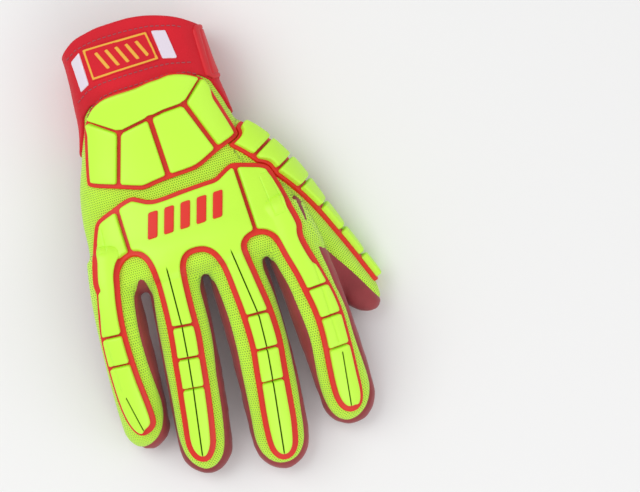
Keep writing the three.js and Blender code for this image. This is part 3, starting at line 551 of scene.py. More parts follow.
def build_hand():
    verts, faces, start = [], [], 0
    for limb in LIMBS.values():
        v, f = loft(limb)
        verts.append(v)
        faces += [tuple(i + start for i in face) for face in f]
        start += len(v)
    mesh = bpy.data.meshes.new("form")
    mesh.from_pydata(np.concatenate(verts).tolist(), [], faces)
    obj = bpy.data.objects.new("form", mesh)
    bpy.context.scene.collection.objects.link(obj)
    remesh = obj.modifiers.new("voxels", "REMESH")
    remesh.mode = "VOXEL"
    remesh.voxel_size = VOXEL
    graph = bpy.context.evaluated_depsgraph_get()
    done = obj.evaluated_get(graph).to_mesh()
    done.calc_loop_triangles()
    v = np.empty(len(done.vertices) * 3)
    done.vertices.foreach_get("co", v)
    t = np.empty(len(done.loop_triangles) * 3, np.int32)
    done.loop_triangles.foreach_get("vertices", t)
    bpy.data.objects.remove(obj)
    bpy.data.meshes.remove(mesh)
    v, t = v.reshape(-1, 3), t.reshape(-1, 3).astype(np.int64)
    v = relax(v, t, 10, 0.5)
    return v, t


def limb_place(limb, p):
    """Share of the length, across and up coordinates in the limb's sections, and the size there."""
    c = limb["centre"]
    best = np.full(len(p), 1e9)
    near = np.zeros(len(p), int)
    for i in range(len(c)):
        d = ((p - c[i]) ** 2).sum(axis=1)
        off = ((p - c[i]) @ limb["heading"][i]) ** 2
        score = off * 4 + d * 0.25
        hit = score < best
        best[hit] = score[hit]
        near[hit] = i
    j = near
    ahead = ((p - c[j]) * limb["heading"][j]).sum(axis=1)
    spacing = np.linalg.norm(np.gradient(c, limb["along"], axis=0), axis=1)[j]
    along = limb["along"][j] + ahead / spacing

    def at(key):
        x = limb[key]
        if x.ndim == 1:
            return np.interp(along, limb["along"], x)
        return np.stack([np.interp(along, limb["along"], x[:, k]) for k in range(3)], axis=1)

    rel = p - at("centre")
    u = (rel * unit(at("across"))).sum(axis=1)
    v = (rel * unit(at("up"))).sum(axis=1)
    hw, hh = np.maximum(at("hw"), 1.5), np.maximum(at("hh"), 1.5)
    power = limb["power"]
    out = ((np.abs(u) / hw) ** power + (np.abs(v) / hh) ** power) ** (1 / power)
    past = np.clip(np.abs(along - np.clip(along, limb["along"][0], limb["along"][-1])) - 0.01, 0, None)
    return along, u, v, hw, hh, out + past * 20


def seam_y(z):
    """Where the cuff meets the hand, by height."""
    share = np.array([-0.30, 0.15, 0.40, 0.56, 0.78, 0.93, 1.20])
    back = np.array([-0.10, -0.12, -0.20, -0.14, 0.18, 0.28, 0.30])
    return WRIST_Y + CUFF_LENGTH * np.interp(z / WRIST_HEIGHT, share, back)


# Edge of the mouth: place across the wrist, and how far it lies back from the mouth, as shares
RIM = [
    (-1.40, 0.60), (-0.98, 0.25), (-0.86, 0.13), (-0.72, 0.05), (-0.50, 0.00), (-0.10, -0.03), (0.40, 0.02),
    (0.77, 0.14), (0.95, 0.24), (1.40, 0.48),
]


def rim_field(p):
    across = (p[:, 0] - CUFF_X) / (WRIST_WIDTH / 2)
    rim = MOUTH_Y - CUFF_LENGTH * curve([r[0] for r in RIM], [r[1] for r in RIM], np.clip(across, -1.4, 1.4))
    lean = MOUTH_Y - RIM_LEAN + (3 + RIM_LEAN) * (p[:, 2] + 10) / (WRIST_HEIGHT + 20)
    return np.minimum(rim, lean) - p[:, 1]


def ripple(p, size, seed, stretch=(1, 1, 1)):
    """Soft random height per point, about -1 to 1."""
    q = p * np.array(stretch) / size + seed
    return np.array([noise.noise(Vector(x)) for x in q])


def build_skin():
    v, t = build_hand()
    owner = np.zeros(len(v), int)
    best = np.full(len(v), 1e9)
    local = np.zeros((len(v), 5))
    for k, name in enumerate(OWNERS):
        along, u, w, hw, hh, out = limb_place(LIMBS[name], v)
        hit = out < best
        best[hit] = out[hit]
        owner[hit] = k
        local[hit] = np.stack([along, u, w, hw, hh], axis=1)[hit]
    side = local[:, 1] / local[:, 3]
    low = {"little": (-0.22, 0.22), "ring": (0.12, 0.12), "middle": (0.12, 0.12), "index": (0.22, 0.10),
           "thumb": (-0.05, -0.05), "palm": (-0.30, -0.30)}
    thr = np.array([low[n] for n in OWNERS])[owner]
    limit = thr[:, 0] + (thr[:, 1] - thr[:, 0]) * np.clip(side * 0.5 + 0.5, 0, 1)
    upper = local[:, 2] - limit * local[:, 4]
    own = owner == OWNERS.index("thumb")
    upper[own] += (0.55 * step(local[:, 0], 0.72, 0.98) * local[:, 4])[own]
    upper = relax(upper, t, 12)
    knit = polygon(round_corners(KNIT_EDGE))(v[:, :2]) + 0.22 * np.clip(upper - 5.5, -9, 6)
    knit = relax(np.minimum(knit, upper * 0.8), t, 8)
    # Threads run along each finger, and along the hand above the knuckles
    theta = np.arctan2(local[:, 1] / local[:, 3], local[:, 2] / local[:, 4])
    st = np.stack([v[:, 0], v[:, 1], np.zeros(len(v))], axis=1)
    for k, (_, x, length, _, splay, _, _) in enumerate(FINGERS):
        own = (owner == k)
        r = (local[:, 3] + local[:, 4]) / 2
        fs = x + np.tan(math.radians(splay)) * 20 + r * theta
        ft = KNUCKLE_Y - length * local[:, 0]
        mix = step(-v[:, 1], 8, 16)
        st[own, 0] = (st[:, 0] * (1 - mix) + fs * mix)[own]
        st[own, 1] = (st[:, 1] * (1 - mix) + ft * mix)[own]
    own = owner == OWNERS.index("thumb")
    st[own, 0] = ((local[:, 3] + local[:, 4]) / 2 * theta)[own]
    st[own, 1] = (-THUMB_LENGTH * local[:, 0])[own]
    own = owner == OWNERS.index("palm")
    st[own, 0] += (np.sign(local[:, 1]) * np.clip(local[:, 4] - local[:, 2], 0, None) * 0.55)[own]
    n = normals_of(v, t)
    # Seam groove and folds
    cuffed = v[:, 1] - seam_y(v[:, 2])
    groove = 0.55 * np.exp(-(knit / 0.75) ** 2) * step(-cuffed, -2, 6)
    leather = step(-knit, 0.5, 4) * step(-cuffed, 0, 6)
    soft = ripple(v, 9, 3.1) * 0.35 + ripple(v, 4.5, 7.7) * 0.18
    v = v + n * (leather * soft - groove)[:, None]
    v[:, 2] = np.maximum(v[:, 2], FLOOR_CLEARANCE)
    n = relax(normals_of(v, t), t, 4)
    return Skin(v, t, n=unit(n), knit=knit, st=st, owner=owner.astype(float), local=local, cuffed=cuffed)


HAND = build_skin()
UPPER = HAND.take((HAND.n[HAND.t][:, :, 2].mean(axis=1) > -0.1))


# Materials

def principled(name, color, roughness, **more):
    m = bpy.data.materials.new(name)
    m.use_nodes = True
    b = m.node_tree.nodes["Principled BSDF"]
    b.inputs["Base Color"].default_value = (*color, 1)
    b.inputs["Roughness"].default_value = roughness
    for key, value in more.items():
        b.inputs[key.replace("_", " ")].default_value = value
    return m, m.node_tree, b


def link(tree, a, b):
    tree.links.new(a, b)


def node(tree, kind, **values):
    n = tree.nodes.new(kind)
    for key, value in values.items():
        if key in n.inputs.keys():
            n.inputs[key].default_value = value
        else:
            setattr(n, key, value)
    return n


def math_node(tree, op, a, b=None, clamp=False):
    n = tree.nodes.new("ShaderNodeMath")
    n.operation = op
    n.use_clamp = clamp
    for i, x in enumerate((a, b)):
        if x is None:
            continue
        if isinstance(x, (int, float)):
            n.inputs[i].default_value = x
        else:
            tree.links.new(x, n.inputs[i])
    return n.outputs[0]


def noise_node(tree, vector, scale, detail=3.0, rough=0.5):
    n = node(tree, "ShaderNodeTexNoise", Scale=scale, Detail=detail, Roughness=rough)
    link(tree, vector, n.inputs["Vector"])
    return n.outputs["Fac"]


def ramp(tree, fac, stops):
    n = tree.nodes.new("ShaderNodeValToRGB")
    e = n.color_ramp.elements
    while len(e) < len(stops):
        e.new(0.5)
    for item, (pos, color) in zip(e, stops):
        item.position = pos
        item.color = (*color, 1)
    link(tree, fac, n.inputs["Fac"])
    return n.outputs["Color"]


def bump(tree, b, height, strength, distance, before=None):
    n = node(tree, "ShaderNodeBump", Strength=strength, Distance=distance)
    link(tree, height, n.inputs["Height"])
    if before is not None:
        link(tree, before, n.inputs["Normal"])
    link(tree, n.outputs["Normal"], b.inputs["Normal"])
    return n.outputs["Normal"]


def object_vector(tree):
    return tree.nodes.new("ShaderNodeTexCoord").outputs["Object"]


LIME = (0.60, 0.99, 0.05)
KNIT_HOLE, KNIT_THREAD = (0.21, 0.45, 0.008), (0.52, 0.95, 0.035)
# Distance between stitches of the knit, across and along, in mm
KNIT_PITCH = (1.22, 1.12)
RED = (0.74, 0.018, 0.007)


def make_knit():
    m, tree, b = principled("knit", LIME, 0.8, Sheen_Weight=0.25, Sheen_Roughness=0.5)
    attr = node(tree, "ShaderNodeAttribute", attribute_name="st")
    wobble = node(tree, "ShaderNodeTexNoise", Scale=0.35, Detail=2.0)
    link(tree, attr.outputs["Vector"], wobble.inputs["Vector"])
    mixed = node(tree, "ShaderNodeVectorMath", operation="MULTIPLY_ADD")
    link(tree, wobble.outputs["Color"], mixed.inputs[0])
    mixed.inputs[1].default_value = (0.5, 0.5, 0)
    link(tree, attr.outputs["Vector"], mixed.inputs[2])
    parts = tree.nodes.new("ShaderNodeSeparateXYZ")
    link(tree, mixed.outputs[0], parts.inputs[0])
    u = math_node(tree, "DIVIDE", parts.outputs[0], KNIT_PITCH[0])
    w = math_node(tree, "DIVIDE", parts.outputs[1], KNIT_PITCH[1])
    row = math_node(tree, "FLOOR", w)
    odd = math_node(tree, "MODULO", math_node(tree, "ABSOLUTE", row), 2.0)
    u2 = math_node(tree, "ADD", u, math_node(tree, "MULTIPLY", odd, 0.5))
    fu = math_node(tree, "SUBTRACT", math_node(tree, "FRACT", u2), 0.5)
    fw = math_node(tree, "SUBTRACT", math_node(tree, "FRACT", w), 0.5)
    d = math_node(tree, "SQRT", math_node(tree, "ADD", math_node(tree, "MULTIPLY", fu, fu),
                                          math_node(tree, "MULTIPLY", fw, fw)))
    hole = node(tree, "ShaderNodeMapRange", interpolation_type="SMOOTHSTEP")
    hole.inputs["From Min"].default_value = 0.16
    hole.inputs["From Max"].default_value = 0.36
    link(tree, d, hole.inputs["Value"])
    tone = noise_node(tree, object_vector(tree), 60.0, 3.0)
    stops = [(0.0, KNIT_HOLE), (0.55, KNIT_THREAD), (1.0, LIME)]
    color = ramp(tree, hole.outputs[0], stops)
    shade = node(tree, "ShaderNodeMix", data_type="RGBA", blend_type="MULTIPLY")
    shade.inputs["Factor"].default_value = 0.35
    link(tree, color, shade.inputs["A"])
    link(tree, ramp(tree, tone, [(0.3, (0.84, 0.88, 0.75)), (0.7, (1, 1, 1))]), shade.inputs["B"])
    link(tree, shade.outputs["Result"], b.inputs["Base Color"])
    bump(tree, b, hole.outputs[0], 0.8, 0.0004)
    return m


def make_leather(color=(0.36, 0.045, 0.052), dark=(0.22, 0.026, 0.030)):
    m, tree, b = principled("leather", color, 0.62, Sheen_Weight=0.15, Specular_IOR_Level=0.35)
    vec = object_vector(tree)
    tone = noise_node(tree, vec, 35.0, 4.0, 0.6)
    link(tree, ramp(tree, tone, [(0.3, dark), (0.7, color)]), b.inputs["Base Color"])
    cells = node(tree, "ShaderNodeTexVoronoi", Scale=1500.0)
    link(tree, vec, cells.inputs["Vector"])
    first = bump(tree, b, cells.outputs["Distance"], 0.25, 0.0002)
    bump(tree, b, noise_node(tree, vec, 140.0, 5.0, 0.6), 0.35, 0.0009, first)
    return m


def make_rubber(name, color, rough, slit_shade_color=None):
    m, tree, b = principled(name, color, rough, Specular_IOR_Level=0.45)
    vec = object_vector(tree)
    if slit_shade_color:
        attr = node(tree, "ShaderNodeAttribute", attribute_name="st")
        parts = tree.nodes.new("ShaderNodeSeparateXYZ")
        link(tree, attr.outputs["Vector"], parts.inputs[0])
        # Painted shade in the slits: the colour turns darker where st z, the slit depth, is high
        link(tree, ramp(tree, parts.outputs[2], [(0.05, color), (0.6, slit_shade_color)]), b.inputs["Base Color"])
    grain = noise_node(tree, vec, 900.0, 2.0)
    bump(tree, b, grain, 0.12, 0.0002)
    return m


def make_neoprene(name="neoprene", color=(0.70, 0.010, 0.024)):
    m, tree, b = principled(name, color, 0.75, Sheen_Weight=0.08, Sheen_Roughness=0.4, Specular_IOR_Level=0.3)
    vec = object_vector(tree)
    tone = noise_node(tree, vec, 40.0, 3.0)
    darker = tuple(c * 0.85 for c in color)
    link(tree, ramp(tree, tone, [(0.3, darker), (0.7, color)]), b.inputs["Base Color"])
    fine = node(tree, "ShaderNodeTexVoronoi", Scale=1400.0)
    link(tree, vec, fine.inputs["Vector"])
    first = bump(tree, b, fine.outputs["Distance"], 0.35, 0.0003)
    bump(tree, b, noise_node(tree, vec, 120.0, 3.0), 0.25, 0.0006, first)
    return m


KNIT = make_knit()
LEATHER = make_leather()
GUARD_RED = make_rubber("guard_red", RED, 0.5)
# The last colour is painted shade for the slits in the lime pads
GUARD_LIME = make_rubber("guard_lime", (0.56, 0.97, 0.055), 0.42, (0.06, 0.10, 0.004))
NEOPRENE = make_neoprene()
STRAP = make_rubber("strap", (0.66, 0.010, 0.020), 0.55)
LOOP = make_neoprene("loop", (0.60, 0.010, 0.022))
YELLOW = principled("yellow", (0.82, 0.42, 0.04), 0.6)[0]
WHITE = principled("reflective", (0.80, 0.72, 0.82), 0.35, Metallic=0.15)[0]
THREAD = principled("thread", (0.42, 0.06, 0.08), 0.8)[0]


# Pieces

def plain_piece(name, skin, material, nodes):
    """Cloth or leather with its edge turned inwards."""
    v, t = add_rim(skin.v, skin.t, skin.n, ((-0.5, 0.15), (-1.6, 0.2), (-2.0, -0.6)))
    v[:, 2] = np.maximum(v[:, 2], FLOOR_CLEARANCE)
    return to_object(name, v, t, material, nodes, st=skin.st)


hand_part = HAND.inside(lambda s: 9.0 - s.cuffed)
knit_skin = hand_part.inside(lambda s: s.knit)
leather_skin = hand_part.inside(lambda s: -s.knit)
plain_piece("knit_shell", knit_skin, KNIT,
            ["back_panel", "little_back", "ring_back", "middle_back", "index_back", "thumb_back"])
plain_piece("leather_shell", leather_skin, LEATHER,
            ["palm_panel", "little_front", "ring_front", "middle_front", "index_front", "thumb_front",
             "fourchette_ring_little", "fourchette_middle_ring", "fourchette_index_middle"])


def molded(name, skin, material, nodes, bottom, top, radius, crown=0.0, slits=(), soft=(), ring=None):
    """A moulded piece: f is the distance from its edge, with a rounded upper edge and a groove along it."""
    f = np.clip(skin.f, 0, None)
    q = 1 - np.clip(f / radius, 0, 1)
    height = top - radius * (1 - np.sqrt(np.clip(1 - q * q, 0, 1))) + crown * (1 - np.exp(-f / 2.5))
    if ring:
        height -= ring[1] * np.clip(1 - np.abs(f - ring[0]) / 0.6, 0, 1)
    st = skin.st.copy()
    st[:, 2] = 0
    if slits:
        deep = groove(skin, slits)
        height -= deep + groove(skin, soft)
        # st z holds the slit depth, which the lime material uses as a mask for painted shade in the slits
        st[:, 2] = np.clip(deep / 1.2, 0, 1)
    v = skin.v + skin.n * height[:, None]
    v, t = add_rim(v, skin.t, skin.n, [(-(top - radius - bottom), 0.05)])
    v[:, 2] = np.maximum(v[:, 2], FLOOR_CLEARANCE)
    return to_object(name, v, t, material, nodes, st=st)


guard_outline = polygon(round_corners(GUARD_EDGE))


def lifted(s, height):
    """Where the skin's points are seen from above once they are raised."""
    return (s.v + s.n * height)[:, :2]


BASE_TOP, PAD_TOP = 2.0, 4.9
WRIST_PAD_TOP, THUMB_PAD_TOP = 4.6, 5.0
# Distances from a pad's edge where its rounded border gets vertices, and the triangles of a crumb
PAD_LEVELS = (0.12, 0.35, 0.7, 1.2)
CRUMB = 60


def guard_field(s):
    return guard_outline(lifted(s, BASE_TOP))


def band(x, y):
    """Width of the red band round the lime pads."""
    left = step(-x, 61, 64) * step(-y, 3, 7)
    right = step(x, 42, 45) * step(-y, 8, 16)
    head = step(y, 8, 14)
    return 3.05 - 0.8 * head - 1.9 * left - 1.5 * right


def pads_field(s):
    xy = lifted(s, PAD_TOP - 0.6)
    x, y = xy.T
    f = guard_outline(xy) - band(x, y)
    for points, half in KNUCKLE_LINES:
        f = both(f, np.abs(to_line(points, xy)[0]) - half, 1.2)
    for name, fx, _, _, splay, _, _ in FINGERS:
        slope = math.tan(math.radians(splay))
        for cy, half in CROSS[name]:
            mid = fx + slope * (KNUCKLE_Y - cy)
            d = np.abs((y - cy) - slope * (x - mid)) * math.cos(math.radians(splay))
            f = both(f, np.maximum(d - half, np.abs(x - mid) - 15.5), 0.9)
    return np.minimum(f, s.f - 1.1)


def pads_of(skin, field):
    """The separate pads that a field leaves of a base, without crumbs."""
    return [p for p in skin.inside(field, levels=PAD_LEVELS).parts() if len(p.t) > CRUMB]


def lines_cut(skin, lines):
    """Adds vertices along and beside each line, for narrow grooves."""
    for points, half, _ in lines:
        for level in (-half, 0, half):
            d, _ = to_line(points, lifted(skin, PAD_TOP))
            skin, _ = skin.split(d - level, snap=0.01)
    return skin


def groove(skin, lines):
    total = np.zeros(len(skin.v))
    for points, half, depth in lines:
        d, share = to_line(points, lifted(skin, PAD_TOP))
        end = step(share, 0.0, 0.05) * step(1 - share, 0.0, 0.03)
        total = np.maximum(total, depth * end * np.clip(1 - np.abs(d) / half, 0, 1))
    return total


base_skin = UPPER.inside(guard_field, levels=(0.25, 0.6)).parts()[0]
molded("guard_base", base_skin, GUARD_RED, ["knuckle_guard_base"], 0.0, 2.1, 0.6)
pad_skin = base_skin
for name, fx, _, _, splay, _, _ in FINGERS:
    slope = math.tan(math.radians(splay))
    for cy, _ in CROSS[name]:
        x, y = lifted(pad_skin, PAD_TOP - 0.6).T
        pad_skin, _ = pad_skin.split((y - cy) - slope * (x - fx - slope * (KNUCKLE_Y - cy)), snap=0.01)
pad_skin = pad_skin.inside(pads_field, levels=PAD_LEVELS)
pad_skin = lines_cut(pad_skin, SLITS + SOFT_LINES)
found = {}
for part in pad_skin.parts():
    x, y = part.v[:, 0].mean(), part.v[:, 1].mean()
    if len(part.t) < CRUMB:
        continue
    if part.v[:, 1].max() > 0:
        key = "knuckle"
    else:
        key = min(FINGERS, key=lambda g: abs(g[1] + math.tan(math.radians(g[4])) * (KNUCKLE_Y - y) - x))[0]
    found.setdefault(key, []).append(part)
for key, parts in found.items():
    parts.sort(key=(lambda p: p.v[:, 0].mean()) if key == "knuckle" else (lambda p: -p.v[:, 1].mean()))
    for i, part in enumerate(parts):
        molded(f"{key}_pad_look_{i + 1}", part, GUARD_LIME, [f"{key}_pad_{i + 1}"],
               1.8, PAD_TOP, 0.9, 0.35, SLITS, SOFT_LINES)

# Slanted raised bars on the middle of the knuckle guard
middle_pad = found["knuckle"][1]


def bars_field(s):
    x, y = lifted(s, PAD_TOP + 0.4).T
    slant = (x + 11) - (y - 19.2) * 0.30
    across = 2.5 - np.abs((slant + 21.0) % 8.4 - 4.2)
    ends = np.minimum(6.4 - np.abs(y - 19.2 - (x + 11) * 0.02), 21.0 - np.abs(slant))
    return both(across, ends, 0.9)


bars = middle_pad.inside(bars_field, levels=(0.15, 0.4))
molded("guard_bars", bars, GUARD_RED, [], PAD_TOP - 0.2, PAD_TOP + 1.05, 0.4)

# Wrist guard
wrist_outline = polygon(round_corners(WRIST_EDGE))


def wrist_pads_field(s):
    xy = lifted(s, 3.9)
    f = wrist_outline(xy) - (2.1 - 2.0 * step(xy[:, 1], 70, 78))
    for points, half in WRIST_LINES:
        f = both(f, np.abs(to_line(points, xy)[0]) - half, 1.3)
    return np.minimum(f, s.f - 0.9)


wrist_skin = UPPER.inside(lambda s: wrist_outline(lifted(s, BASE_TOP)), levels=(0.25, 0.6)).parts()[0]
molded("wrist_base", wrist_skin, GUARD_RED, ["wrist_guard_base"], 0.0, 1.9, 0.6)
wrist_parts = pads_of(wrist_skin, wrist_pads_field)
wrist_parts.sort(key=lambda p: p.v[:, 0].min())
for i, part in enumerate(wrist_parts):
    molded(f"wrist_pad_look_{i + 1}", part, GUARD_LIME, [f"wrist_pad_{i + 1}"],
           1.6, WRIST_PAD_TOP, 1.0, 0.35)

# Thumb guard

def thumb_field(s):
    along, u, w, _, hh, out = limb_place(THUMB, s.v)
    u = u - THUMB_GUARD_DROP * step(along, 0.2, 0.6)
    ends = np.minimum(along - THUMB_BLOCKS[0], THUMB_BLOCKS[-1] - along) * THUMB_LENGTH
    strip = both(THUMB_GUARD_HALF - np.abs(u), ends, 3.0)
    xy = lifted(s, BASE_TOP)
    clear = np.minimum(-guard_outline(xy), -wrist_outline(xy)) - 0.4
    facing = np.where((w > 0.1 * hh) & (out < 1.35), 50.0, -50.0)
    return np.minimum(np.minimum(strip, clear), facing)


def thumb_pads_field(s):
    along = limb_place(THUMB, s.v)[0]
    f = s.f - 1.6
    for a in THUMB_BLOCKS[1:-1]:
        f = both(f, np.abs(along - a) * THUMB_LENGTH - 0.8, 1.0)
    return f


thumb_skin = HAND.inside(thumb_field, levels=(0.25, 0.6)).parts()[0]
molded("thumb_base", thumb_skin, GUARD_RED, ["thumb_guard_base"], 0.0, 2.0, 0.6)
thumb_parts = pads_of(thumb_skin, thumb_pads_field)
thumb_parts.sort(key=lambda p: -p.v[:, 1].mean())
for i, part in enumerate(thumb_parts):
    molded(f"thumb_pad_look_{i + 1}", part, GUARD_LIME, [f"thumb_pad_{i + 1}"],
           1.7, THUMB_PAD_TOP, 1.0, 0.3)

# Thumb patch


def patch_field(s):
    along, u, w, hw, hh, out = limb_place(THUMB, s.v)
    arc = w + hh * (0.12 + 0.7 * np.sin(math.pi * np.clip((along - 0.24) / 0.5, 0, 1)))
    ends = np.minimum(along - PATCH_ENDS[0], PATCH_ENDS[1] - along) * THUMB_LENGTH
    inner = -0.10 * hh - w
    facing = np.where((u > 0.2 * hw) & (out < 1.3), 50.0, -50.0)
    return np.minimum(both(both(arc, ends, 2.0), inner, 0.6), facing)


patch_parts = HAND.inside(patch_field, levels=(0.4,)).parts()
molded("thumb_patch_look", patch_parts[0], LEATHER, ["thumb_patch"], 0.0, 1.2, 0.5)

# Cuff: outer skin, rounded rim at the mouth, inner skin
cuff_skin = HAND.inside(lambda s: both(s.cuffed, rim_field(s.v), 0.3))
cuff_skin = cuff_skin.parts()[0]


def cuff_piece():
    s = cuff_skin
    outer = s.v + s.n * 1.3
    inner = s.v - s.n * 1.5
    v, t = add_rim(outer, s.t, s.n, [(-0.25, 0.5), (-1.0, 0.9), (-1.8, 0.9), (-2.55, 0.5), (-2.8, 0.0)])
    n = len(v)
    v = np.concatenate([v, inner])
    t = np.concatenate([t, s.t[:, ::-1] + n])
    v[:, 2] = np.maximum(v[:, 2], FLOOR_CLEARANCE)
    return to_object("cuff_look", v, t, NEOPRENE, ["cuff"])


cuff_piece()

# Label and the two bright patches on the back of the cuff
CUFF_UPPER = cuff_skin.take(cuff_skin.n[cuff_skin.t][:, :, 2].mean(axis=1) > 0)
LABEL_EDGE = [(-37.4, 112.8), (-3.4, 112.4), (-0.9, 96.6), (-36.6, 95.8)]
LEFT_PATCH = [(-44.3, 108.3), (-39.1, 111.5), (-38.8, 95.0), (-43.7, 92.5)]
LABEL_TOP = 1.9
RIGHT_PATCH = [(-1.3, 111.8), (5.7, 110.0), (7.6, 95.0), (0.4, 96.8)]


def flat_patch(name, points, material, node_name, top=2.0):
    f = polygon(points)
    s = CUFF_UPPER.inside(lambda k: f(lifted(k, top)), levels=(0.3,)).parts()[0]
    molded(name, s, material, [node_name], 1.2, top, 0.3)
    return s


flat_patch("patch_left", LEFT_PATCH, WHITE, "reflective_patch_left")
flat_patch("patch_right", RIGHT_PATCH, WHITE, "reflective_patch_right")
label_skin = flat_patch("label", LABEL_EDGE, NEOPRENE, "cuff_label", LABEL_TOP)


def mark(name, skin, field, material, bottom, top, radius=0.15):
    s = skin.inside(field, levels=(radius,))
    molded(name, s, material, [], bottom, top, radius)


def frame_line(s):
    return 0.5 - np.abs(polygon(LABEL_EDGE)(lifted(s, LABEL_TOP)) - 1.1)


def stripes(s):
    x, y = lifted(s, LABEL_TOP).T
    edge = polygon(LABEL_EDGE)(lifted(s, LABEL_TOP)) - 3.6
    slant = x + y * 0.45 - 28.6
    wave = np.minimum(0.9 - np.abs((slant + 2.6) % 5.2 - 2.6), 12.5 - np.abs(slant))
    return np.minimum(edge, wave)


mark("label_frame", label_skin, frame_line, YELLOW, 1.7, 2.15)
mark("label_stripes", label_skin, stripes, YELLOW, 1.7, 2.15)

# Stitches along lines on the cuff
SEAMS = {
    "stitch_low": [(-46.5, 88), (-40, 92.0), (-32, 93.6), (-19, 94.0), (-5, 94.0), (3, 93.4), (14, 91)],
    "stitch_high": [(-46, 110), (-40, 113.3), (-30, 115), (-15, 115.2), (-2, 114.2), (10, 111.2),
                    (15.5, 108.5)],
    "stitch_edge": [(-44, 79.8), (-41, 83.2), (-34, 87.0), (-27, 88.0), (-14, 88.0), (0, 88.6), (10, 87.0),
                    (14.5, 84.5)],
}
SEAM_HEIGHT = 1.35
# Share of a stitch's length, and its height there over the cloth
STITCH_ARCH = [(0, -0.25), (0.12, 0.02), (0.5, 0.14), (0.88, 0.02), (1.0, -0.25)]


def stitches(name, skin, points, height, material, pitch=2.7, length=1.9, width=0.34):
    p = np.asarray(points, float)
    reach = np.concatenate([[0], np.cumsum(np.linalg.norm(np.diff(p, axis=0), axis=1))])
    starts = np.arange(0, reach[-1] - length, pitch)
    verts, faces = [], []
    for a in starts:
        ring_centres = []
        for share, arch in STITCH_ARCH:
            at = a + share * length
            xy = np.array([np.interp(at, reach, p[:, k]) for k in range(2)])
            d = ((lifted(skin, height) - xy) ** 2).sum(axis=1)
            near = np.argsort(d)[:4]
            w = 1 / (d[near] + 0.01)
            w /= w.sum()
            n = unit((skin.n[near] * w[:, None]).sum(axis=0))
            z = (skin.v[near] + skin.n[near] * height)[:, 2] @ w
            ring_centres.append((np.array([xy[0], xy[1], z]) + n * arch, n))
        tangent = unit(ring_centres[-1][0] - ring_centres[0][0])
        start = len(verts)
        for c, n in ring_centres:
            side = unit(np.cross(n, tangent))
            for k in range(6):
                angle = k * math.pi / 3
                verts.append(c + (side * math.cos(angle) + n * math.sin(angle)) * width)
        for r in range(4):
            for k in range(6):
                j = (k + 1) % 6
                b0, b1 = start + r * 6, start + (r + 1) * 6
                faces += [(b0 + k, b1 + k, b0 + j), (b0 + j, b1 + k, b1 + j)]
    if verts:
        to_object(name, np.array(verts), np.array(faces), material, [], smooth_angle=None)


for name, points in SEAMS.items():
    stitches(name, CUFF_UPPER, points, SEAM_HEIGHT, THREAD)

# Strap round the thumb side and under the wrist
STRAP_Y, STRAP_RIGHT, STRAP_WIDTH, TAB_END = 94.6, 21.4, 28, -18.6
STRAP_MID = CUFF_FLOOR_GAP + WRIST_HEIGHT / 2
# The patch under the strap: extra width, how far it shows beyond the tab, how far it starts below the middle
LOOP_EXTRA, LOOP_MARGIN, LOOP_DROP = 2, 6, 6


def strap_field(s, wide=STRAP_WIDTH, end=TAB_END):
    """Round the thumb side: a short end on the back and a long rounded tab on the palm side."""
    top_edge = STRAP_RIGHT - 4
    x, y, z = s.v.T
    across = wide / 2 - np.abs(y - STRAP_Y)
    lower = both(across, x - end, 9.0)
    upper = both(across, x - top_edge, 3.0)
    return np.where(z < STRAP_MID, lower, upper)


def loop_field(s):
    patch = strap_field(s, STRAP_WIDTH + LOOP_EXTRA, TAB_END - LOOP_MARGIN)
    return np.minimum(patch, STRAP_MID - LOOP_DROP - s.v[:, 2])


loop_skin = cuff_skin.inside(loop_field, levels=(0.4,))
molded("loop_look", loop_skin.parts()[0], LOOP, ["strap_loop_patch"], 1.0, 1.9, 0.4)
strap_skin = cuff_skin.inside(strap_field, levels=(0.3, 0.8, 1.8, 2.4, 3.0)).parts()[0]
molded("strap_look", strap_skin, STRAP, ["strap_tab"], 1.2, 2.6, 0.9,
       ring=(2.4, 0.45))

# Floor, light and camera


LENS, SENSOR = 300, 36
FOCUS_HEIGHT = 0.03


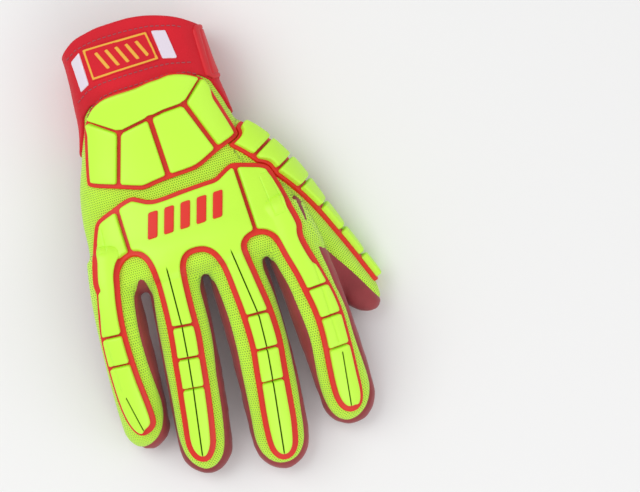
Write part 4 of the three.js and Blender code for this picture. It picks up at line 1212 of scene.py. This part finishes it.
def add_area(name, where, size, power):
    light = bpy.data.lights.new(name, "AREA")
    light.shape = "RECTANGLE"
    light.size, light.size_y = size
    light.energy = power
    obj = bpy.data.objects.new(name, light)
    obj.location = where
    obj.rotation_euler = (-Vector(where)).to_track_quat("-Z", "Y").to_euler()
    bpy.context.scene.collection.objects.link(obj)


def add_floor():
    bpy.ops.mesh.primitive_plane_add(size=8, location=(0, 0, 0))
    floor = bpy.context.object
    floor.name = "floor"
    floor.data.materials.append(principled("floor", (0.86, 0.86, 0.86), 0.7)[0])


def add_camera():
    turn = math.radians(PHOTO_TURN)
    right = Vector((math.cos(turn), -math.sin(turn), 0))
    up = Vector((math.sin(turn), math.cos(turn), 0))
    px, py = PHOTO_CENTRE
    a = px * math.cos(turn) - py * math.sin(turn)
    b = px * math.sin(turn) + py * math.cos(turn)
    x = ((a - PLAN_ORIGIN[0]) * PIXEL + SHIFT[0]) * 0.001
    y = ((-b + PLAN_ORIGIN[1]) * PIXEL + SHIFT[1]) * 0.001
    camera = bpy.data.cameras.new("camera")
    camera.lens = LENS
    camera.sensor_width = SENSOR
    camera.clip_start, camera.clip_end = 0.05, 20
    distance = 2 * PHOTO_CENTRE[0] * PIXEL * 0.001 * LENS / SENSOR
    obj = bpy.data.objects.new("camera", camera)
    rotation = Matrix((right, up, Vector((0, 0, 1)))).transposed()
    obj.matrix_world = Matrix.Translation((x, y, distance + FOCUS_HEIGHT)) @ rotation.to_4x4()
    bpy.context.scene.collection.objects.link(obj)
    bpy.context.scene.camera = obj


world = bpy.data.worlds.new("world")
bpy.context.scene.world = world
world.use_nodes = True
world.node_tree.nodes["Background"].inputs["Color"].default_value = (1, 1, 1, 1)
world.node_tree.nodes["Background"].inputs["Strength"].default_value = 0.62
bpy.context.scene.view_settings.view_transform = "Standard"
add_area("key", (-0.6, 0.5, 1.1), (0.9, 0.9), 7)
add_area("fill", (0.9, -0.2, 0.9), (0.9, 0.9), 2)
add_area("rim", (0.1, -0.9, 0.6), (0.6, 0.4), 2)
add_floor()
add_camera()
